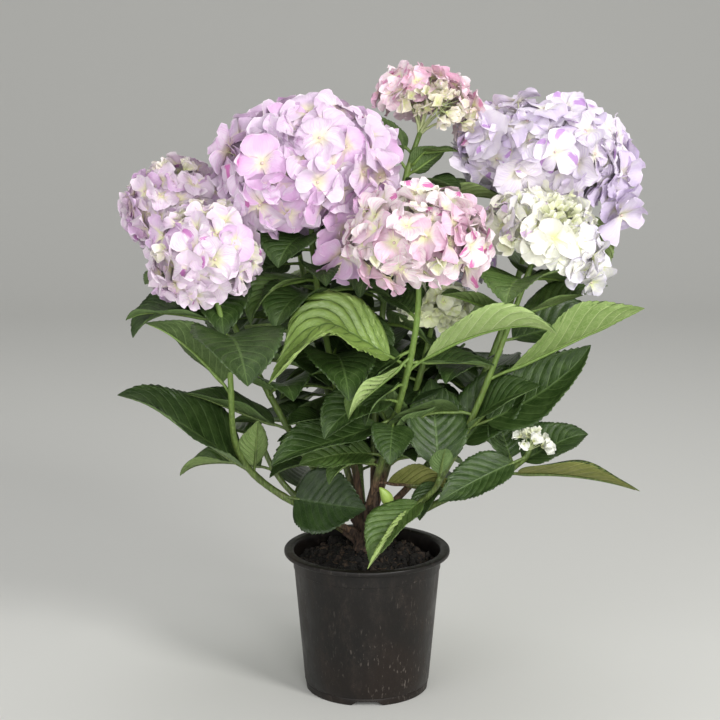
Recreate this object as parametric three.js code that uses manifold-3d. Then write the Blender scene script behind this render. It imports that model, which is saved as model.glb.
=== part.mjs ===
// Hydrangea shrub in its nursery pot: pot, potting soil, woody stool, green shoots,
// opposite leaves and mophead blooms. Millimetres, +Z up. The origin is the middle
// of the pot's flat underside.

import * as THREE from 'three';
import { mergeVertices } from 'three/addons/utils/BufferGeometryUtils.js';
import Module from 'manifold-3d';

const wasm = await Module();
wasm.setup();

// Pot
const POT_HEIGHT = 165;
const POT_SEGMENTS = 32;
const RIM_RADIUS = 95;
const RIM_DEPTH = 6.5;
const NECK_RADIUS = 85.2;
const SHOULDER_DROP = 22;
const SHOULDER_STEP = 0.8;
const FOOT_RADIUS = 71;
const FOOT_HEIGHT = 8;
const WALL = 2;
const FLOOR_TOP = 6.5;
const PAD_RADIUS = 38;
const RECESS_INNER = 42;
const RECESS_OUTER = 62;
const RECESS_HEIGHT = 4;
const DRAIN_COUNT = 8;
const DRAIN_RADIUS = 5;
const DRAIN_RING = 52;
const NOTCH_COUNT = 4;
const NOTCH_WIDTH = 36;
const NOTCH_HEIGHT = 5.5;
const NOTCH_SLOPE = 7;

// Soil
const SOIL_GAP = 0.3;
const SOIL_EDGE = 148;
const SOIL_TOP = 157;
const SOIL_PATCH = 24;
const SOIL_BUMP = 3;
const SOIL_RINGS = [15, 32, 50, 67];

// Woody stool that the shoots rise from
const STOOL_Y = 20;
const STOOL_FOOT = SOIL_TOP + 0.3;
const STOOL_RADIUS = 17;
const STOOL_HEIGHT = 16;
const PRONG_FOOT_SHARE = 0.3;
const PRONG_FOOT_RADIUS = 7.5;
const PRONG_TIP_RADIUS = 5.5;

// Shoots, leaves and blooms
const PIECE_GAP = 0.3;
const SHOOT_SIDES = 5;
const SHOOT_STEP = 38;
const STEM_FOOT_RADIUS = 4.8;
const STEM_TIP_RADIUS = 3.2;
const PETIOLE_RADIUS = 2.2;
const PETIOLE_SHARE = 0.18;
const PETIOLE_EXTRA = 6;
const BLADE_WIDTH = 0.7;
const BLADE_FOLD = 20;
const LEAF_THICKNESS = 0.014;
const BLADE_STATIONS = [0.08, 0.32, 0.58, 0.82];
const MATE_SWING = 10;
const NECK_DROP = 0.85;
const CORE_SHARE = 0.78;
const DOME_SPREAD = 118;
const GOLDEN_TURN = 137.508;
const FLORET_POINTS = 12;
const FLORET_NOTCH = 0.7;
const FLORET_CURL = 0.12;
const FLORET_THICKNESS = 1.4;
const STALK_SIDES = 3;
const STALK_RADIUS = 1.5;

// Each shoot rises from the stool at start [azimuth, reach, height], sets off along
// way [azimuth, lean, stride] and ends under its bloom. A bloom has its middle
// [azimuth, reach, height], half width, half height, neck [lean, azimuth, stride],
// number of florets and floret radius. A leafy shoot has no florets. Leaves are
// [place on the shoot, azimuth, length, rise, droop, roll, length of the opposite leaf, breadth].
const SHOOTS = {
  left_front: {
    start: [185, 20, 180],
    way: [180, 65, 215],
    bloom: { middle: [-157, 190, 511], wide: 56, high: 60, neck: [15, -170, 165], florets: 13, size: 26 },
    leaves: [
      [0.17, -25, 105, -4, -5, 60, 0, 1.3],
      [0.27, 187, 190, 40, 8, -10, 0, 1],
      [0.3, -60, 66, 85, 10, 0, 0, 1],
      [0.72, 193, 128, 60, 33, 30, 0, 1],
      [0.91, -75, 132, 20, 68, 0, 0, 1.25],
      [0.95, 170, 111, 16, 27, -5, 0, 1],
    ],
  },
  front: {
    start: [-75, 10, 214],
    way: [-45, 20, 120],
    bloom: { middle: [-65, 121, 535], wide: 76, high: 56, neck: [12, -105, 75], florets: 18, size: 27 },
    leaves: [
      [0.08, 0, 95, 0, 10, -40, 0, 1],
      [0.19, 201, 102, 15, 33, -30, 0, 1],
      [0.35, 203, 154, -18, -13, -10, 0, 0.85],
      [0.56, -20, 181, 41, 41, -15, 0, 0.85],
      [0.63, 204, 98, -36, 0, 20, 0, 1.2],
      [0.58, 203, 195, 62, 130, -43, 0, 0.66],
      [0.8, 118, 80, 35, 50, 0, 0, 1],
    ],
  },
  right: {
    start: [-15, 24, 188],
    way: [-15, 70, 70],
    bloom: { middle: [-10, 194, 530], wide: 68, high: 48, neck: [20, 10, 170], florets: 15, size: 24 },
    leaves: [
      [0.46, 5, 139, 53, 10, 40, 0, 1],
      [0.57, -10, 169, 19, -32, 45, 0, 0.85],
      [0.72, -5, 188, 26, 0, -25, 0, 0.85],
      [0.89, 13, 114, 15, 0, 0, 0.8, 1],
      [0.97, -107, 104, 22, 50, 0, 0.8, 1.5],
      [0.98, 15, 62, 6, 32, 0, 0, 1],
      [0.25, 50, 130, 10, 40, 0, 0, 1],
    ],
  },
  low_right: {
    start: [-35, 26, 180],
    way: [-20, 50, 80],
    bloom: { middle: [-15, 188, 299], wide: 18, high: 15, neck: [18, -10, 25], florets: 6, size: 10 },
    leaves: [
      [0.67, -15, 158, 11, 27, -12, 0, 0.8],
      [0.79, 118, 64, 50, 0, 0, 0, 1],
      [0.78, 15, 96, 30, 15, 25, 0, 1.1],
      [0.95, 200, 113, -17, 9, -35, 0, 0.8],
    ],
  },
  low_front: {
    start: [-70, 25, 183],
    way: [-40, 50, 40],
    bloom: { middle: [-35, 98, 268], wide: 10, high: 10, neck: [30, -90, 30], florets: 0, size: 0 },
    leaves: [
      [0.7, -140, 108, -18, 32, 0, 0, 1],
      [0.95, 98, 120, 72, 25, 0, 0.4, 1],
    ],
  },
  young: {
    start: [-20, 10, 228],
    way: [0, 25, 80],
    bloom: { middle: [-7, 77, 447], wide: 34, high: 28, neck: [12, -25, 80], florets: 10, size: 15 },
    leaves: [
      [0.72, 60, 100, 30, 40, 0, 0, 1],
      [0.3, -130, 110, 60, 20, 0, 0, 1],
    ],
  },
  top: {
    start: [45, 11, 220],
    way: [60, 0, 150],
    bloom: { middle: [36, 85, 660], wide: 62, high: 44, neck: [20, 5, 100], florets: 15, size: 22 },
    leaves: [
      [0.81, 0, 121, 6, 17, 0, 0, 1],
      [0.83, -46, 90, 18, 30, 0, 0, 1],
      [0.89, 165, 92, 55, 20, 0, 0.42, 1],
      [0.95, 175, 58, 50, 40, 0, 0, 0.8],
      [0.96, -15, 52, 4, 0, 0, 0, 0.7],
      [0.5, 150, 120, 30, 50, 0, 0, 1],
      [0.35, 190, 130, 60, 25, 0, 0, 1],
      [0.62, -110, 114, 22, 75, 0, 0, 1],
    ],
  },
  right_top: {
    start: [15, 20, 200],
    way: [15, 50, 135],
    bloom: { middle: [17, 210, 612], wide: 102, high: 66, neck: [10, 15, 155], florets: 22, size: 30 },
    leaves: [
      [0.61, 16, 143, 11, 0, 30, 0, 1],
      [0.96, 3, 114, 4, 77, -20, 0.8, 1],
      [0.4, 70, 150, 35, 45, 0, 0, 1],
      [0.8, 60, 140, 20, 50, 0, 0, 1],
      [0.53, -115, 130, 25, 40, 0, 0, 1],
    ],
  },
  large: {
    start: [125, 12, 208],
    way: [150, 10, 110],
    bloom: { middle: [-159, 69, 604], wide: 98, high: 76, neck: [5, -120, 125], florets: 20, size: 33 },
    leaves: [
      [0.82, 212, 105, 16, 77, 0, 0, 1],
      [0.92, 199, 82, 6, 18, -30, 0.9, 1.1],
      [0.45, 75, 140, 35, 40, 0, 0.8, 1],
      [0.66, 120, 135, 35, 60, 0, 0, 1],
      [0.28, -132, 100, 32, 40, 0, 0, 1],
      [0.55, -80, 140, 25, 65, 0, 0, 1],
    ],
  },
  left_back: {
    start: [150, 18, 192],
    way: [170, 45, 110],
    bloom: { middle: [177, 217, 557], wide: 54, high: 50, neck: [28, 170, 120], florets: 12, size: 26 },
    leaves: [
      [0.36, 183, 128, 22, 0, 0, 0, 1],
      [0.6, 110, 140, 30, 40, 0, 0, 1],
      [0.82, 140, 120, 15, 30, 0, 0, 1],
      [0.48, -75, 130, 35, 45, 0, 0, 1],
    ],
  },
  back_left: {
    start: [110, 22, 190],
    way: [125, 30, 110],
    bloom: { middle: [122, 170, 545], wide: 70, high: 55, neck: [20, 120, 110], florets: 13, size: 29 },
    leaves: [
      [0.3, 160, 140, 20, 40, 0, 0, 1],
      [0.48, 110, 150, 35, 50, 0, 0, 1],
      [0.66, 25, 130, 32, 45, 0, 0.9, 1],
      [0.84, 110, 130, 15, 50, 0, 0, 1],
    ],
  },
  back_right: {
    start: [75, 22, 186],
    way: [60, 35, 100],
    bloom: { middle: [58, 165, 490], wide: 64, high: 50, neck: [22, 60, 100], florets: 12, size: 28 },
    leaves: [
      [0.3, 20, 140, 20, 40, 0, 0, 1],
      [0.48, 80, 150, 35, 50, 0, 0, 1],
      [0.66, 130, 140, 20, 45, 0, 0.7, 1],
      [0.84, 60, 130, 15, 50, 0, 0, 1],
    ],
  },
  low_back: {
    start: [95, 30, 176],
    way: [95, 60, 80],
    bloom: { middle: [95, 140, 330], wide: 10, high: 10, neck: [20, 95, 60], florets: 0, size: 0 },
    leaves: [
      [0.4, 20, 140, 20, 40, 0, 0.9, 1],
      [0.68, 100, 130, 15, 40, 0, 0, 1],
      [0.95, 65, 120, 30, 60, 0, 0, 1],
    ],
  },
  low_left: {
    start: [150, 30, 174],
    way: [155, 65, 80],
    bloom: { middle: [150, 150, 290], wide: 10, high: 10, neck: [20, 150, 60], florets: 0, size: 0 },
    leaves: [
      [0.4, 80, 130, 20, 40, 0, 0, 1],
      [0.68, 160, 130, 15, 40, 0, 0, 1],
      [0.95, 130, 120, 15, 50, 0, 0, 1],
    ],
  },
};

const UP = new THREE.Vector3(0, 0, 1);

function radians(angle) {
  return THREE.MathUtils.degToRad(angle);
}

// A number from 0 to 1 that depends only on its two seeds.
function chance(first, second) {
  const value = Math.sin(first * 12.9898 + second * 78.233) * 43758.5453;
  return value - Math.floor(value);
}

// The point at an azimuth, a reach from the pot's axis and a height.
function polar(azimuth, reach, height) {
  return new THREE.Vector3(reach * Math.cos(radians(azimuth)), reach * Math.sin(radians(azimuth)), height);
}

// The direction that leans from upright towards an azimuth.
function leaning(lean, azimuth) {
  return polar(azimuth, Math.sin(radians(lean)), Math.cos(radians(lean)));
}

// A closed three.js geometry as a solid.
function solidOf(geometry) {
  const bare = new THREE.BufferGeometry();
  bare.setAttribute('position', geometry.getAttribute('position'));
  bare.setIndex(geometry.index);
  const merged = mergeVertices(bare, 1e-4);
  const solid = new wasm.Manifold(new wasm.Mesh({
    numProp: 3,
    vertProperties: merged.attributes.position.array,
    triVerts: new Uint32Array(merged.index.array),
  }));
  if (solid.volume() <= 0) {
    throw new Error('a geometry faces inwards');
  }
  return solid;
}

// A solid that runs through rings of equally many points, with flat ends.
function loft(rings) {
  const sides = rings[0].length;
  const faces = [];
  for (let ring = 0; ring + 1 < rings.length; ring += 1) {
    for (let side = 0; side < sides; side += 1) {
      const next = (side + 1) % sides;
      const low = ring * sides;
      const high = low + sides;
      faces.push(low + side, low + next, high + next);
      faces.push(low + side, high + next, high + side);
    }
  }
  const last = (rings.length - 1) * sides;
  for (let side = 1; side + 1 < sides; side += 1) {
    faces.push(0, side + 1, side);
    faces.push(last, last + side, last + side + 1);
  }
  const geometry = new THREE.BufferGeometry().setFromPoints(rings.flat());
  geometry.setIndex(faces);
  return solidOf(geometry);
}

// A ring of points about a middle, in the plane of two directions.
function roundRing(middle, across, along, radius, sides) {
  const points = [];
  for (let side = 0; side < sides; side += 1) {
    const angle = (2 * Math.PI * side) / sides;
    points.push(middle.clone()
      .addScaledVector(across, radius * Math.cos(angle))
      .addScaledVector(along, radius * Math.sin(angle)));
  }
  return points;
}

// A tapering round limb along a curve, between two places on it.
function limb(curve, from, to, footRadius, tipRadius, sides, step) {
  const length = curve.getLength() * (to - from);
  const pieces = Math.max(1, Math.round(length / step));
  const rings = [];
  for (let piece = 0; piece <= pieces; piece += 1) {
    const place = from + ((to - from) * piece) / pieces;
    const tangent = curve.getTangent(place);
    const across = curve.side.clone().addScaledVector(tangent, -curve.side.dot(tangent)).normalize();
    const along = tangent.clone().cross(across);
    const radius = footRadius + (tipRadius - footRadius) * place;
    rings.push(roundRing(curve.getPoint(place), across, along, radius, sides));
  }
  return loft(rings);
}

// The curve of a shoot from the stool to the neck of its bloom.
function shootCurve(shoot) {
  const [startAzimuth, startReach, startHeight] = shoot.start;
  const [azimuth, lean, stride] = shoot.way;
  const [neckLean, neckAzimuth, neckStride] = shoot.bloom.neck;
  const axis = leaning(neckLean, neckAzimuth);
  const start = polar(startAzimuth, startReach, startHeight);
  start.y += STOOL_Y;
  const end = polar(...shoot.bloom.middle).addScaledVector(axis, -NECK_DROP * shoot.bloom.high);
  const curve = new THREE.CubicBezierCurve3(
    start,
    start.clone().addScaledVector(leaning(lean, azimuth), stride),
    end.clone().addScaledVector(axis, -neckStride),
    end,
  );
  curve.side = polar(azimuth + 90, 1, 0);
  return curve;
}

// The place on a curve that lies a short way past another.
function placeAfter(curve, place, distance) {
  const speed = curve.getPoint(place).distanceTo(curve.getPoint(place + 0.001)) / 0.001;
  return place + distance / speed;
}

// Where a leaf's midrib is at a distance from its root, and its directions there.
function midrib(root, azimuth, length, rise, droop, distance) {
  const start = radians(rise);
  const bend = radians(droop || 0.01) / length;
  const slope = start - bend * distance;
  const out = (Math.sin(start) - Math.sin(slope)) / bend;
  const up = (Math.cos(slope) - Math.cos(start)) / bend;
  const heading = polar(azimuth, 1, 0);
  const point = root.clone().addScaledVector(heading, out).addScaledVector(UP, up);
  const tangent = heading.clone().multiplyScalar(Math.cos(slope)).addScaledVector(UP, Math.sin(slope));
  const side = UP.clone().cross(heading);
  return { point, tangent, side, normal: tangent.clone().cross(side) };
}

// Half the width of a blade at a share of its length, as a share of the most.
function bladeOutline(share) {
  return (share ** 0.6 * (1 - share) ** 0.8) / 0.3845;
}

// One leaf: a petiole sunk in the shoot, then a folded blade with a pointed tip.
function leafSolid(root, { azimuth, length, rise, droop, roll, broad }) {
  const petiole = PETIOLE_SHARE * length + PETIOLE_EXTRA;
  const blade = length - petiole;
  const halfWidth = (BLADE_WIDTH * broad * blade) / 2;
  const halfThickness = (LEAF_THICKNESS * length) / 2;
  const fold = Math.tan(radians(BLADE_FOLD));
  const ring = (distance, half, thick) => {
    const at = midrib(root, azimuth, length, rise, droop, distance);
    const turn = radians(roll);
    const side = at.side.clone().multiplyScalar(Math.cos(turn)).addScaledVector(at.normal, Math.sin(turn));
    const normal = at.tangent.clone().cross(side);
    const edge = half > PETIOLE_RADIUS ? half * fold : 0;
    return [
      at.point.clone().addScaledVector(normal, -thick),
      at.point.clone().addScaledVector(side, half).addScaledVector(normal, edge),
      at.point.clone().addScaledVector(normal, thick),
      at.point.clone().addScaledVector(side, -half).addScaledVector(normal, edge),
    ];
  };
  const rings = [
    ring(0, PETIOLE_RADIUS, PETIOLE_RADIUS),
    ring(petiole, PETIOLE_RADIUS * 0.8, PETIOLE_RADIUS * 0.8),
  ];
  for (const share of BLADE_STATIONS) {
    const thick = Math.max(halfThickness, PETIOLE_RADIUS * 0.8 * (1 - 4 * share));
    rings.push(ring(petiole + share * blade, halfWidth * bladeOutline(share), thick));
  }
  rings.push(ring(length, 0.4, halfThickness * 0.5));
  return loft(rings);
}

// The leaves of a shoot, each with its opposite where it has one.
function leafRows(shoot, seed) {
  const rows = [];
  shoot.leaves.forEach(([place, azimuth, length, rise, droop, roll, mate, broad], index) => {
    rows.push({ place, azimuth, length, rise, droop, roll, broad });
    if (mate > 0) {
      const swing = (chance(seed, index) - 0.5) * 2 * MATE_SWING;
      rows.push({
        place: place + 0.004,
        azimuth: azimuth + 180 + swing,
        length: length * mate,
        rise: rise + swing / 2,
        droop,
        roll: -roll,
        broad,
        opposite: true,
      });
    }
  });
  return rows;
}

// Two directions across a bloom's axis.
function bloomFrame(axis) {
  const across = new THREE.Vector3(0, 1, 0).cross(axis).normalize();
  return { across, along: axis.clone().cross(across) };
}

// The place, facing and size of each floret over a bloom's dome.
function floretRows(bloom, seed) {
  const axis = leaning(bloom.neck[0], bloom.neck[1]);
  const middle = polar(...bloom.middle);
  const { across, along } = bloomFrame(axis);
  const rows = [];
  for (let index = 0; index < bloom.florets; index += 1) {
    const spread = 1 - (1 - Math.cos(radians(DOME_SPREAD))) * ((index + 0.5) / bloom.florets);
    const out = Math.sqrt(1 - spread * spread);
    const turn = radians(index * GOLDEN_TURN + seed * 40);
    const depth = 1.02 - 0.06 * chance(seed, index + 50);
    const sideways = across.clone().multiplyScalar(Math.cos(turn)).addScaledVector(along, Math.sin(turn));
    const point = middle.clone()
      .addScaledVector(sideways, out * bloom.wide * depth)
      .addScaledVector(axis, spread * bloom.high * depth);
    const facing = sideways.clone().multiplyScalar(out / bloom.wide)
      .addScaledVector(axis, spread / bloom.high)
      .normalize();
    facing.addScaledVector(across, 0.3 * (chance(seed, index + 90) - 0.5))
      .addScaledVector(along, 0.3 * (chance(seed, index + 130) - 0.5))
      .normalize();
    rows.push({
      point,
      facing,
      root: middle.clone().lerp(point, 0.55),
      size: bloom.size * (0.82 + 0.13 * chance(seed, index + 170)),
      turn: 360 * chance(seed, index + 210),
    });
  }
  return rows;
}

// A floret: four notched sepals as one thin lens, which narrows below to a three-sided stalk.
function floretSolid({ point, facing, root, size, turn }) {
  const { across, along } = bloomFrame(facing);
  const at = (index, count, radius, lift) => {
    const angle = radians(turn) + (2 * Math.PI * index) / count;
    return point.clone()
      .addScaledVector(across, radius * Math.cos(angle))
      .addScaledVector(along, radius * Math.sin(angle))
      .addScaledVector(facing, lift);
  };
  const points = [point.clone().addScaledVector(facing, FLORET_THICKNESS / 2)];
  for (let index = 0; index < FLORET_POINTS; index += 1) {
    const radius = index % 3 === 0 ? size * FLORET_NOTCH : size;
    points.push(at(index, FLORET_POINTS, radius, -FLORET_CURL * radius));
  }
  const collar = points.length;
  const foot = collar + STALK_SIDES;
  const down = root.clone().sub(point);
  for (let index = 0; index < STALK_SIDES; index += 1) {
    points.push(at(index, STALK_SIDES, STALK_RADIUS, -FLORET_THICKNESS));
  }
  for (let index = 0; index < STALK_SIDES; index += 1) {
    points.push(at(index, STALK_SIDES, STALK_RADIUS, 0).add(down));
  }
  const faces = [foot, foot + 2, foot + 1];
  for (let index = 0; index < FLORET_POINTS; index += 1) {
    const here = 1 + index;
    const next = 1 + ((index + 1) % FLORET_POINTS);
    const under = collar + Math.floor(index / (FLORET_POINTS / STALK_SIDES));
    faces.push(0, here, next, under, next, here);
  }
  for (let index = 0; index < STALK_SIDES; index += 1) {
    const next = (index + 1) % STALK_SIDES;
    const rim = 1 + (next * FLORET_POINTS) / STALK_SIDES;
    faces.push(rim, collar + index, collar + next);
    faces.push(collar + index, foot + index, foot + next);
    faces.push(collar + index, foot + next, collar + next);
  }
  const geometry = new THREE.BufferGeometry().setFromPoints(points);
  geometry.setIndex(faces);
  return solidOf(geometry);
}

// The neck and rounded core that a bloom's florets stand out of.
function coreSolid(bloom) {
  const axis = leaning(bloom.neck[0], bloom.neck[1]);
  const middle = polar(...bloom.middle);
  const { across, along } = bloomFrame(axis);
  const neck = middle.clone().addScaledVector(axis, PIECE_GAP - NECK_DROP * bloom.high);
  const stem = loft([
    roundRing(neck, across, along, STEM_TIP_RADIUS, SHOOT_SIDES),
    roundRing(middle, across, along, STEM_TIP_RADIUS * 1.5, SHOOT_SIDES),
  ]);
  const ball = new THREE.SphereGeometry(1, 10, 6);
  ball.rotateX(Math.PI / 2);
  const wide = CORE_SHARE * bloom.wide;
  ball.applyMatrix4(new THREE.Matrix4()
    .makeBasis(
      across.clone().multiplyScalar(wide),
      along.clone().multiplyScalar(wide),
      axis.clone().multiplyScalar(CORE_SHARE * bloom.high),
    )
    .setPosition(middle));
  return solidOf(ball).add(stem);
}

// The pot: a turned wall with a rolled rim, drain holes and notches in its foot.
function potSolid() {
  const shoulder = POT_HEIGHT - SHOULDER_DROP;
  const under = POT_HEIGHT - RIM_DEPTH;
  const profile = [
    [0, 0],
    [PAD_RADIUS, 0],
    [RECESS_INNER, RECESS_HEIGHT],
    [RECESS_OUTER, RECESS_HEIGHT],
    [RECESS_OUTER + 3, 0],
    [FOOT_RADIUS, 0],
    [FOOT_RADIUS, FOOT_HEIGHT],
    [FOOT_RADIUS + 1, FOOT_HEIGHT + 2],
    [NECK_RADIUS - 1.6, shoulder],
    [NECK_RADIUS - 1.6 + SHOULDER_STEP, shoulder + 1.5],
    [NECK_RADIUS, under],
    [RIM_RADIUS - 1, under + 0.6],
    [RIM_RADIUS, under + 2],
    [RIM_RADIUS, POT_HEIGHT - 1.5],
    [RIM_RADIUS - 1.5, POT_HEIGHT],
    [RIM_RADIUS - 9, POT_HEIGHT],
    [NECK_RADIUS - WALL, under],
    [FOOT_RADIUS + 1 - WALL, FLOOR_TOP],
    [0, FLOOR_TOP],
  ].map(([radius, height]) => new THREE.Vector2(radius, height));
  let pot = solidOf(new THREE.LatheGeometry(profile, POT_SEGMENTS).rotateX(Math.PI / 2));
  for (let hole = 0; hole < DRAIN_COUNT; hole += 1) {
    const drill = new THREE.CylinderGeometry(DRAIN_RADIUS, DRAIN_RADIUS, 2 * FLOOR_TOP, 8);
    drill.rotateX(Math.PI / 2);
    const middle = polar((360 * (hole + 0.5)) / DRAIN_COUNT, DRAIN_RING, FLOOR_TOP);
    pot = pot.subtract(solidOf(drill.translate(middle.x, middle.y, middle.z)));
  }
  const half = NOTCH_WIDTH / 2;
  const outline = new THREE.Shape([
    new THREE.Vector2(-half - NOTCH_SLOPE, -NOTCH_HEIGHT),
    new THREE.Vector2(half + NOTCH_SLOPE, -NOTCH_HEIGHT),
    new THREE.Vector2(half - NOTCH_SLOPE, NOTCH_HEIGHT),
    new THREE.Vector2(NOTCH_SLOPE - half, NOTCH_HEIGHT),
  ]);
  for (let notch = 0; notch < NOTCH_COUNT; notch += 1) {
    const cutter = new THREE.ExtrudeGeometry(outline, { depth: 20, bevelEnabled: false });
    cutter.rotateX(Math.PI / 2);
    cutter.translate(0, RECESS_OUTER + 21, 0);
    cutter.rotateZ((2 * Math.PI * notch) / NOTCH_COUNT);
    pot = pot.subtract(solidOf(cutter));
  }
  return pot;
}

// The soil: it fills the pot inside the wall, with a lumpy top and a flat patch under the stool.
function soilSolid() {
  const base = FLOOR_TOP + SOIL_GAP;
  const slope = (NECK_RADIUS - FOOT_RADIUS - 1) / (POT_HEIGHT - RIM_DEPTH - FLOOR_TOP);
  const wallAt = (height) => FOOT_RADIUS + 1 - WALL + slope * (height - FLOOR_TOP) - SOIL_GAP;
  const heightAt = (point, seed) => {
    const away = Math.hypot(point.x, point.y - STOOL_Y);
    const fall = Math.max(0, away - SOIL_PATCH) / (wallAt(SOIL_EDGE) - SOIL_PATCH);
    const bump = SOIL_BUMP * chance(seed, 7) * Math.min(1, 3 * fall);
    return SOIL_TOP - (SOIL_TOP - SOIL_EDGE) * Math.min(1, fall) - bump;
  };
  const points = [new THREE.Vector3(0, 0, base), new THREE.Vector3(0, 0, SOIL_TOP)];
  const rings = [[wallAt(base), base], [wallAt(SOIL_EDGE), SOIL_EDGE]];
  for (const radius of [...SOIL_RINGS].reverse()) {
    rings.push([radius, null]);
  }
  rings.forEach(([radius, height], ring) => {
    for (let side = 0; side < POT_SEGMENTS; side += 1) {
      const turn = (360 * side) / POT_SEGMENTS;
      const point = polar(turn, radius, 0);
      point.z = height ?? heightAt(point, ring * POT_SEGMENTS + side);
      points.push(point);
    }
  });
  const faces = [];
  const last = 2 + (rings.length - 1) * POT_SEGMENTS;
  for (let side = 0; side < POT_SEGMENTS; side += 1) {
    const next = (side + 1) % POT_SEGMENTS;
    faces.push(0, 2 + next, 2 + side, 1, last + side, last + next);
    for (let ring = 0; ring + 1 < rings.length; ring += 1) {
      const low = 2 + ring * POT_SEGMENTS;
      const high = low + POT_SEGMENTS;
      faces.push(low + side, low + next, high + next);
      faces.push(low + side, high + next, high + side);
    }
  }
  const geometry = new THREE.BufferGeometry().setFromPoints(points);
  geometry.setIndex(faces);
  return solidOf(geometry);
}

// The stool: a flared stump with one woody prong to the foot of each shoot, clear of
// the shoots that rise past it.
function stoolSolid(curves) {
  const stump = new THREE.LatheGeometry([
    new THREE.Vector2(0, 0),
    new THREE.Vector2(STOOL_RADIUS, 0),
    new THREE.Vector2(STOOL_RADIUS * 0.8, STOOL_HEIGHT * 0.5),
    new THREE.Vector2(STOOL_RADIUS * 0.5, STOOL_HEIGHT),
    new THREE.Vector2(0, STOOL_HEIGHT),
  ], 12).rotateX(Math.PI / 2).translate(0, STOOL_Y, STOOL_FOOT);
  let stool = solidOf(stump);
  for (const curve of curves) {
    const end = curve.getPoint(0);
    const tangent = curve.getTangent(0);
    const foot = new THREE.Vector3(0, STOOL_Y, 0).lerp(end, PRONG_FOOT_SHARE);
    foot.z = STOOL_FOOT + PRONG_FOOT_RADIUS;
    const tip = end.clone().addScaledVector(tangent, -PIECE_GAP);
    const prong = new THREE.QuadraticBezierCurve3(foot, tip.clone().addScaledVector(tangent, -12), tip);
    prong.side = curve.side;
    stool = stool.add(limb(prong, 0, 1, PRONG_FOOT_RADIUS, PRONG_TIP_RADIUS, SHOOT_SIDES, 20));
  }
  for (const curve of curves) {
    const room = [STEM_FOOT_RADIUS + PIECE_GAP, STEM_TIP_RADIUS + PIECE_GAP];
    stool = stool.subtract(limb(curve, 0, 0.3, ...room, SHOOT_SIDES, SHOOT_STEP));
  }
  return stool;
}

// Looks of the nodes.
const BARK = { color: 0x5b4433, roughness: 0.9, metalness: 0 };
const PLASTIC = { color: 0x2b2827, roughness: 0.55, metalness: 0 };
const SOIL = { color: 0x1d1713, roughness: 1, metalness: 0 };
const STEM = { color: 0x6d8a3c, roughness: 0.5, metalness: 0 };
const LEAF = { color: 0x3c5c2c, roughness: 0.45, metalness: 0, side: THREE.DoubleSide };
const BLOOM_COLORS = {
  left_front: 0xdcb6dc,
  left_back: 0xcfa6cf,
  large: 0xdba8d8,
  top: 0xe6c3cd,
  right_top: 0xc9b4dd,
  front: 0xf0c4dc,
  right: 0xe9e6da,
  young: 0xe4ead0,
  low_right: 0xf2f3e4,
  back_left: 0xd8b0da,
  back_right: 0xd9b9de,
};

const model = new THREE.Group();
const standing = [];

// Whether two boxes meet.
function boxesMeet(one, other) {
  return [0, 1, 2].every((axis) => one.min[axis] < other.max[axis] && one.max[axis] > other.min[axis]);
}

// Whether a solid cuts into any that stands already, other than those of its own node.
function touches(solid, name) {
  const box = solid.boundingBox();
  return standing.some((other) => other.name !== name
    && boxesMeet(box, other.box)
    && !solid.intersect(other.solid).isEmpty());
}

function stand(name, solid) {
  standing.push({ name, solid, box: solid.boundingBox() });
}

// Adds a node: the union of the solids that stand under its name, placed at its own origin.
function addNode(parent, name, origin, look) {
  const pieces = standing.filter((piece) => piece.name === name);
  const solid = wasm.Manifold.union(pieces.map((piece) => piece.solid));
  const { vertProperties, triVerts } = solid.getMesh();
  const geometry = new THREE.BufferGeometry();
  geometry.setAttribute('position', new THREE.BufferAttribute(vertProperties, 3));
  geometry.setIndex(new THREE.BufferAttribute(triVerts, 1));
  geometry.translate(-origin.x, -origin.y, -origin.z);
  geometry.computeVertexNormals();
  const mesh = new THREE.Mesh(geometry, new THREE.MeshStandardMaterial(look));
  mesh.name = name;
  mesh.position.copy(origin);
  parent.add(mesh);
}

const plants = Object.entries(SHOOTS).map(([name, shoot], index) => ({
  name,
  shoot,
  seed: index + 1,
  curve: shootCurve(shoot),
  split: Math.max(0.05, Math.min(...shoot.leaves.map((leaf) => leaf[0])) - 0.04),
}));

// Limbs stand first, so that leaves and florets keep clear of them.
stand('pot', potSolid());
stand('soil', soilSolid());
stand('woody_base', stoolSolid(plants.map((plant) => plant.curve)));
for (const { name, shoot, curve, split } of plants) {
  const foot = placeAfter(curve, split, PIECE_GAP);
  stand(`stem_${name}`, limb(curve, 0, split, STEM_FOOT_RADIUS, STEM_TIP_RADIUS, SHOOT_SIDES, SHOOT_STEP));
  stand(`leaves_${name}`, limb(curve, foot, 1, STEM_FOOT_RADIUS, STEM_TIP_RADIUS, SHOOT_SIDES, SHOOT_STEP));
  if (shoot.bloom.florets > 0) {
    stand(`bloom_${name}`, coreSolid(shoot.bloom));
  }
}
for (const { name, shoot, seed } of plants) {
  for (const row of floretRows(shoot.bloom, seed)) {
    const floret = floretSolid(row);
    if (!touches(floret, `bloom_${name}`)) {
      stand(`bloom_${name}`, floret);
    }
  }
}
for (const opposite of [false, true]) {
  for (const { name, shoot, seed, curve } of plants) {
    for (const row of leafRows(shoot, seed).filter((each) => Boolean(each.opposite) === opposite)) {
      const leaf = leafSolid(curve.getPoint(row.place), row);
      if (!touches(leaf, `leaves_${name}`)) {
        stand(`leaves_${name}`, leaf);
      }
    }
  }
}

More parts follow.
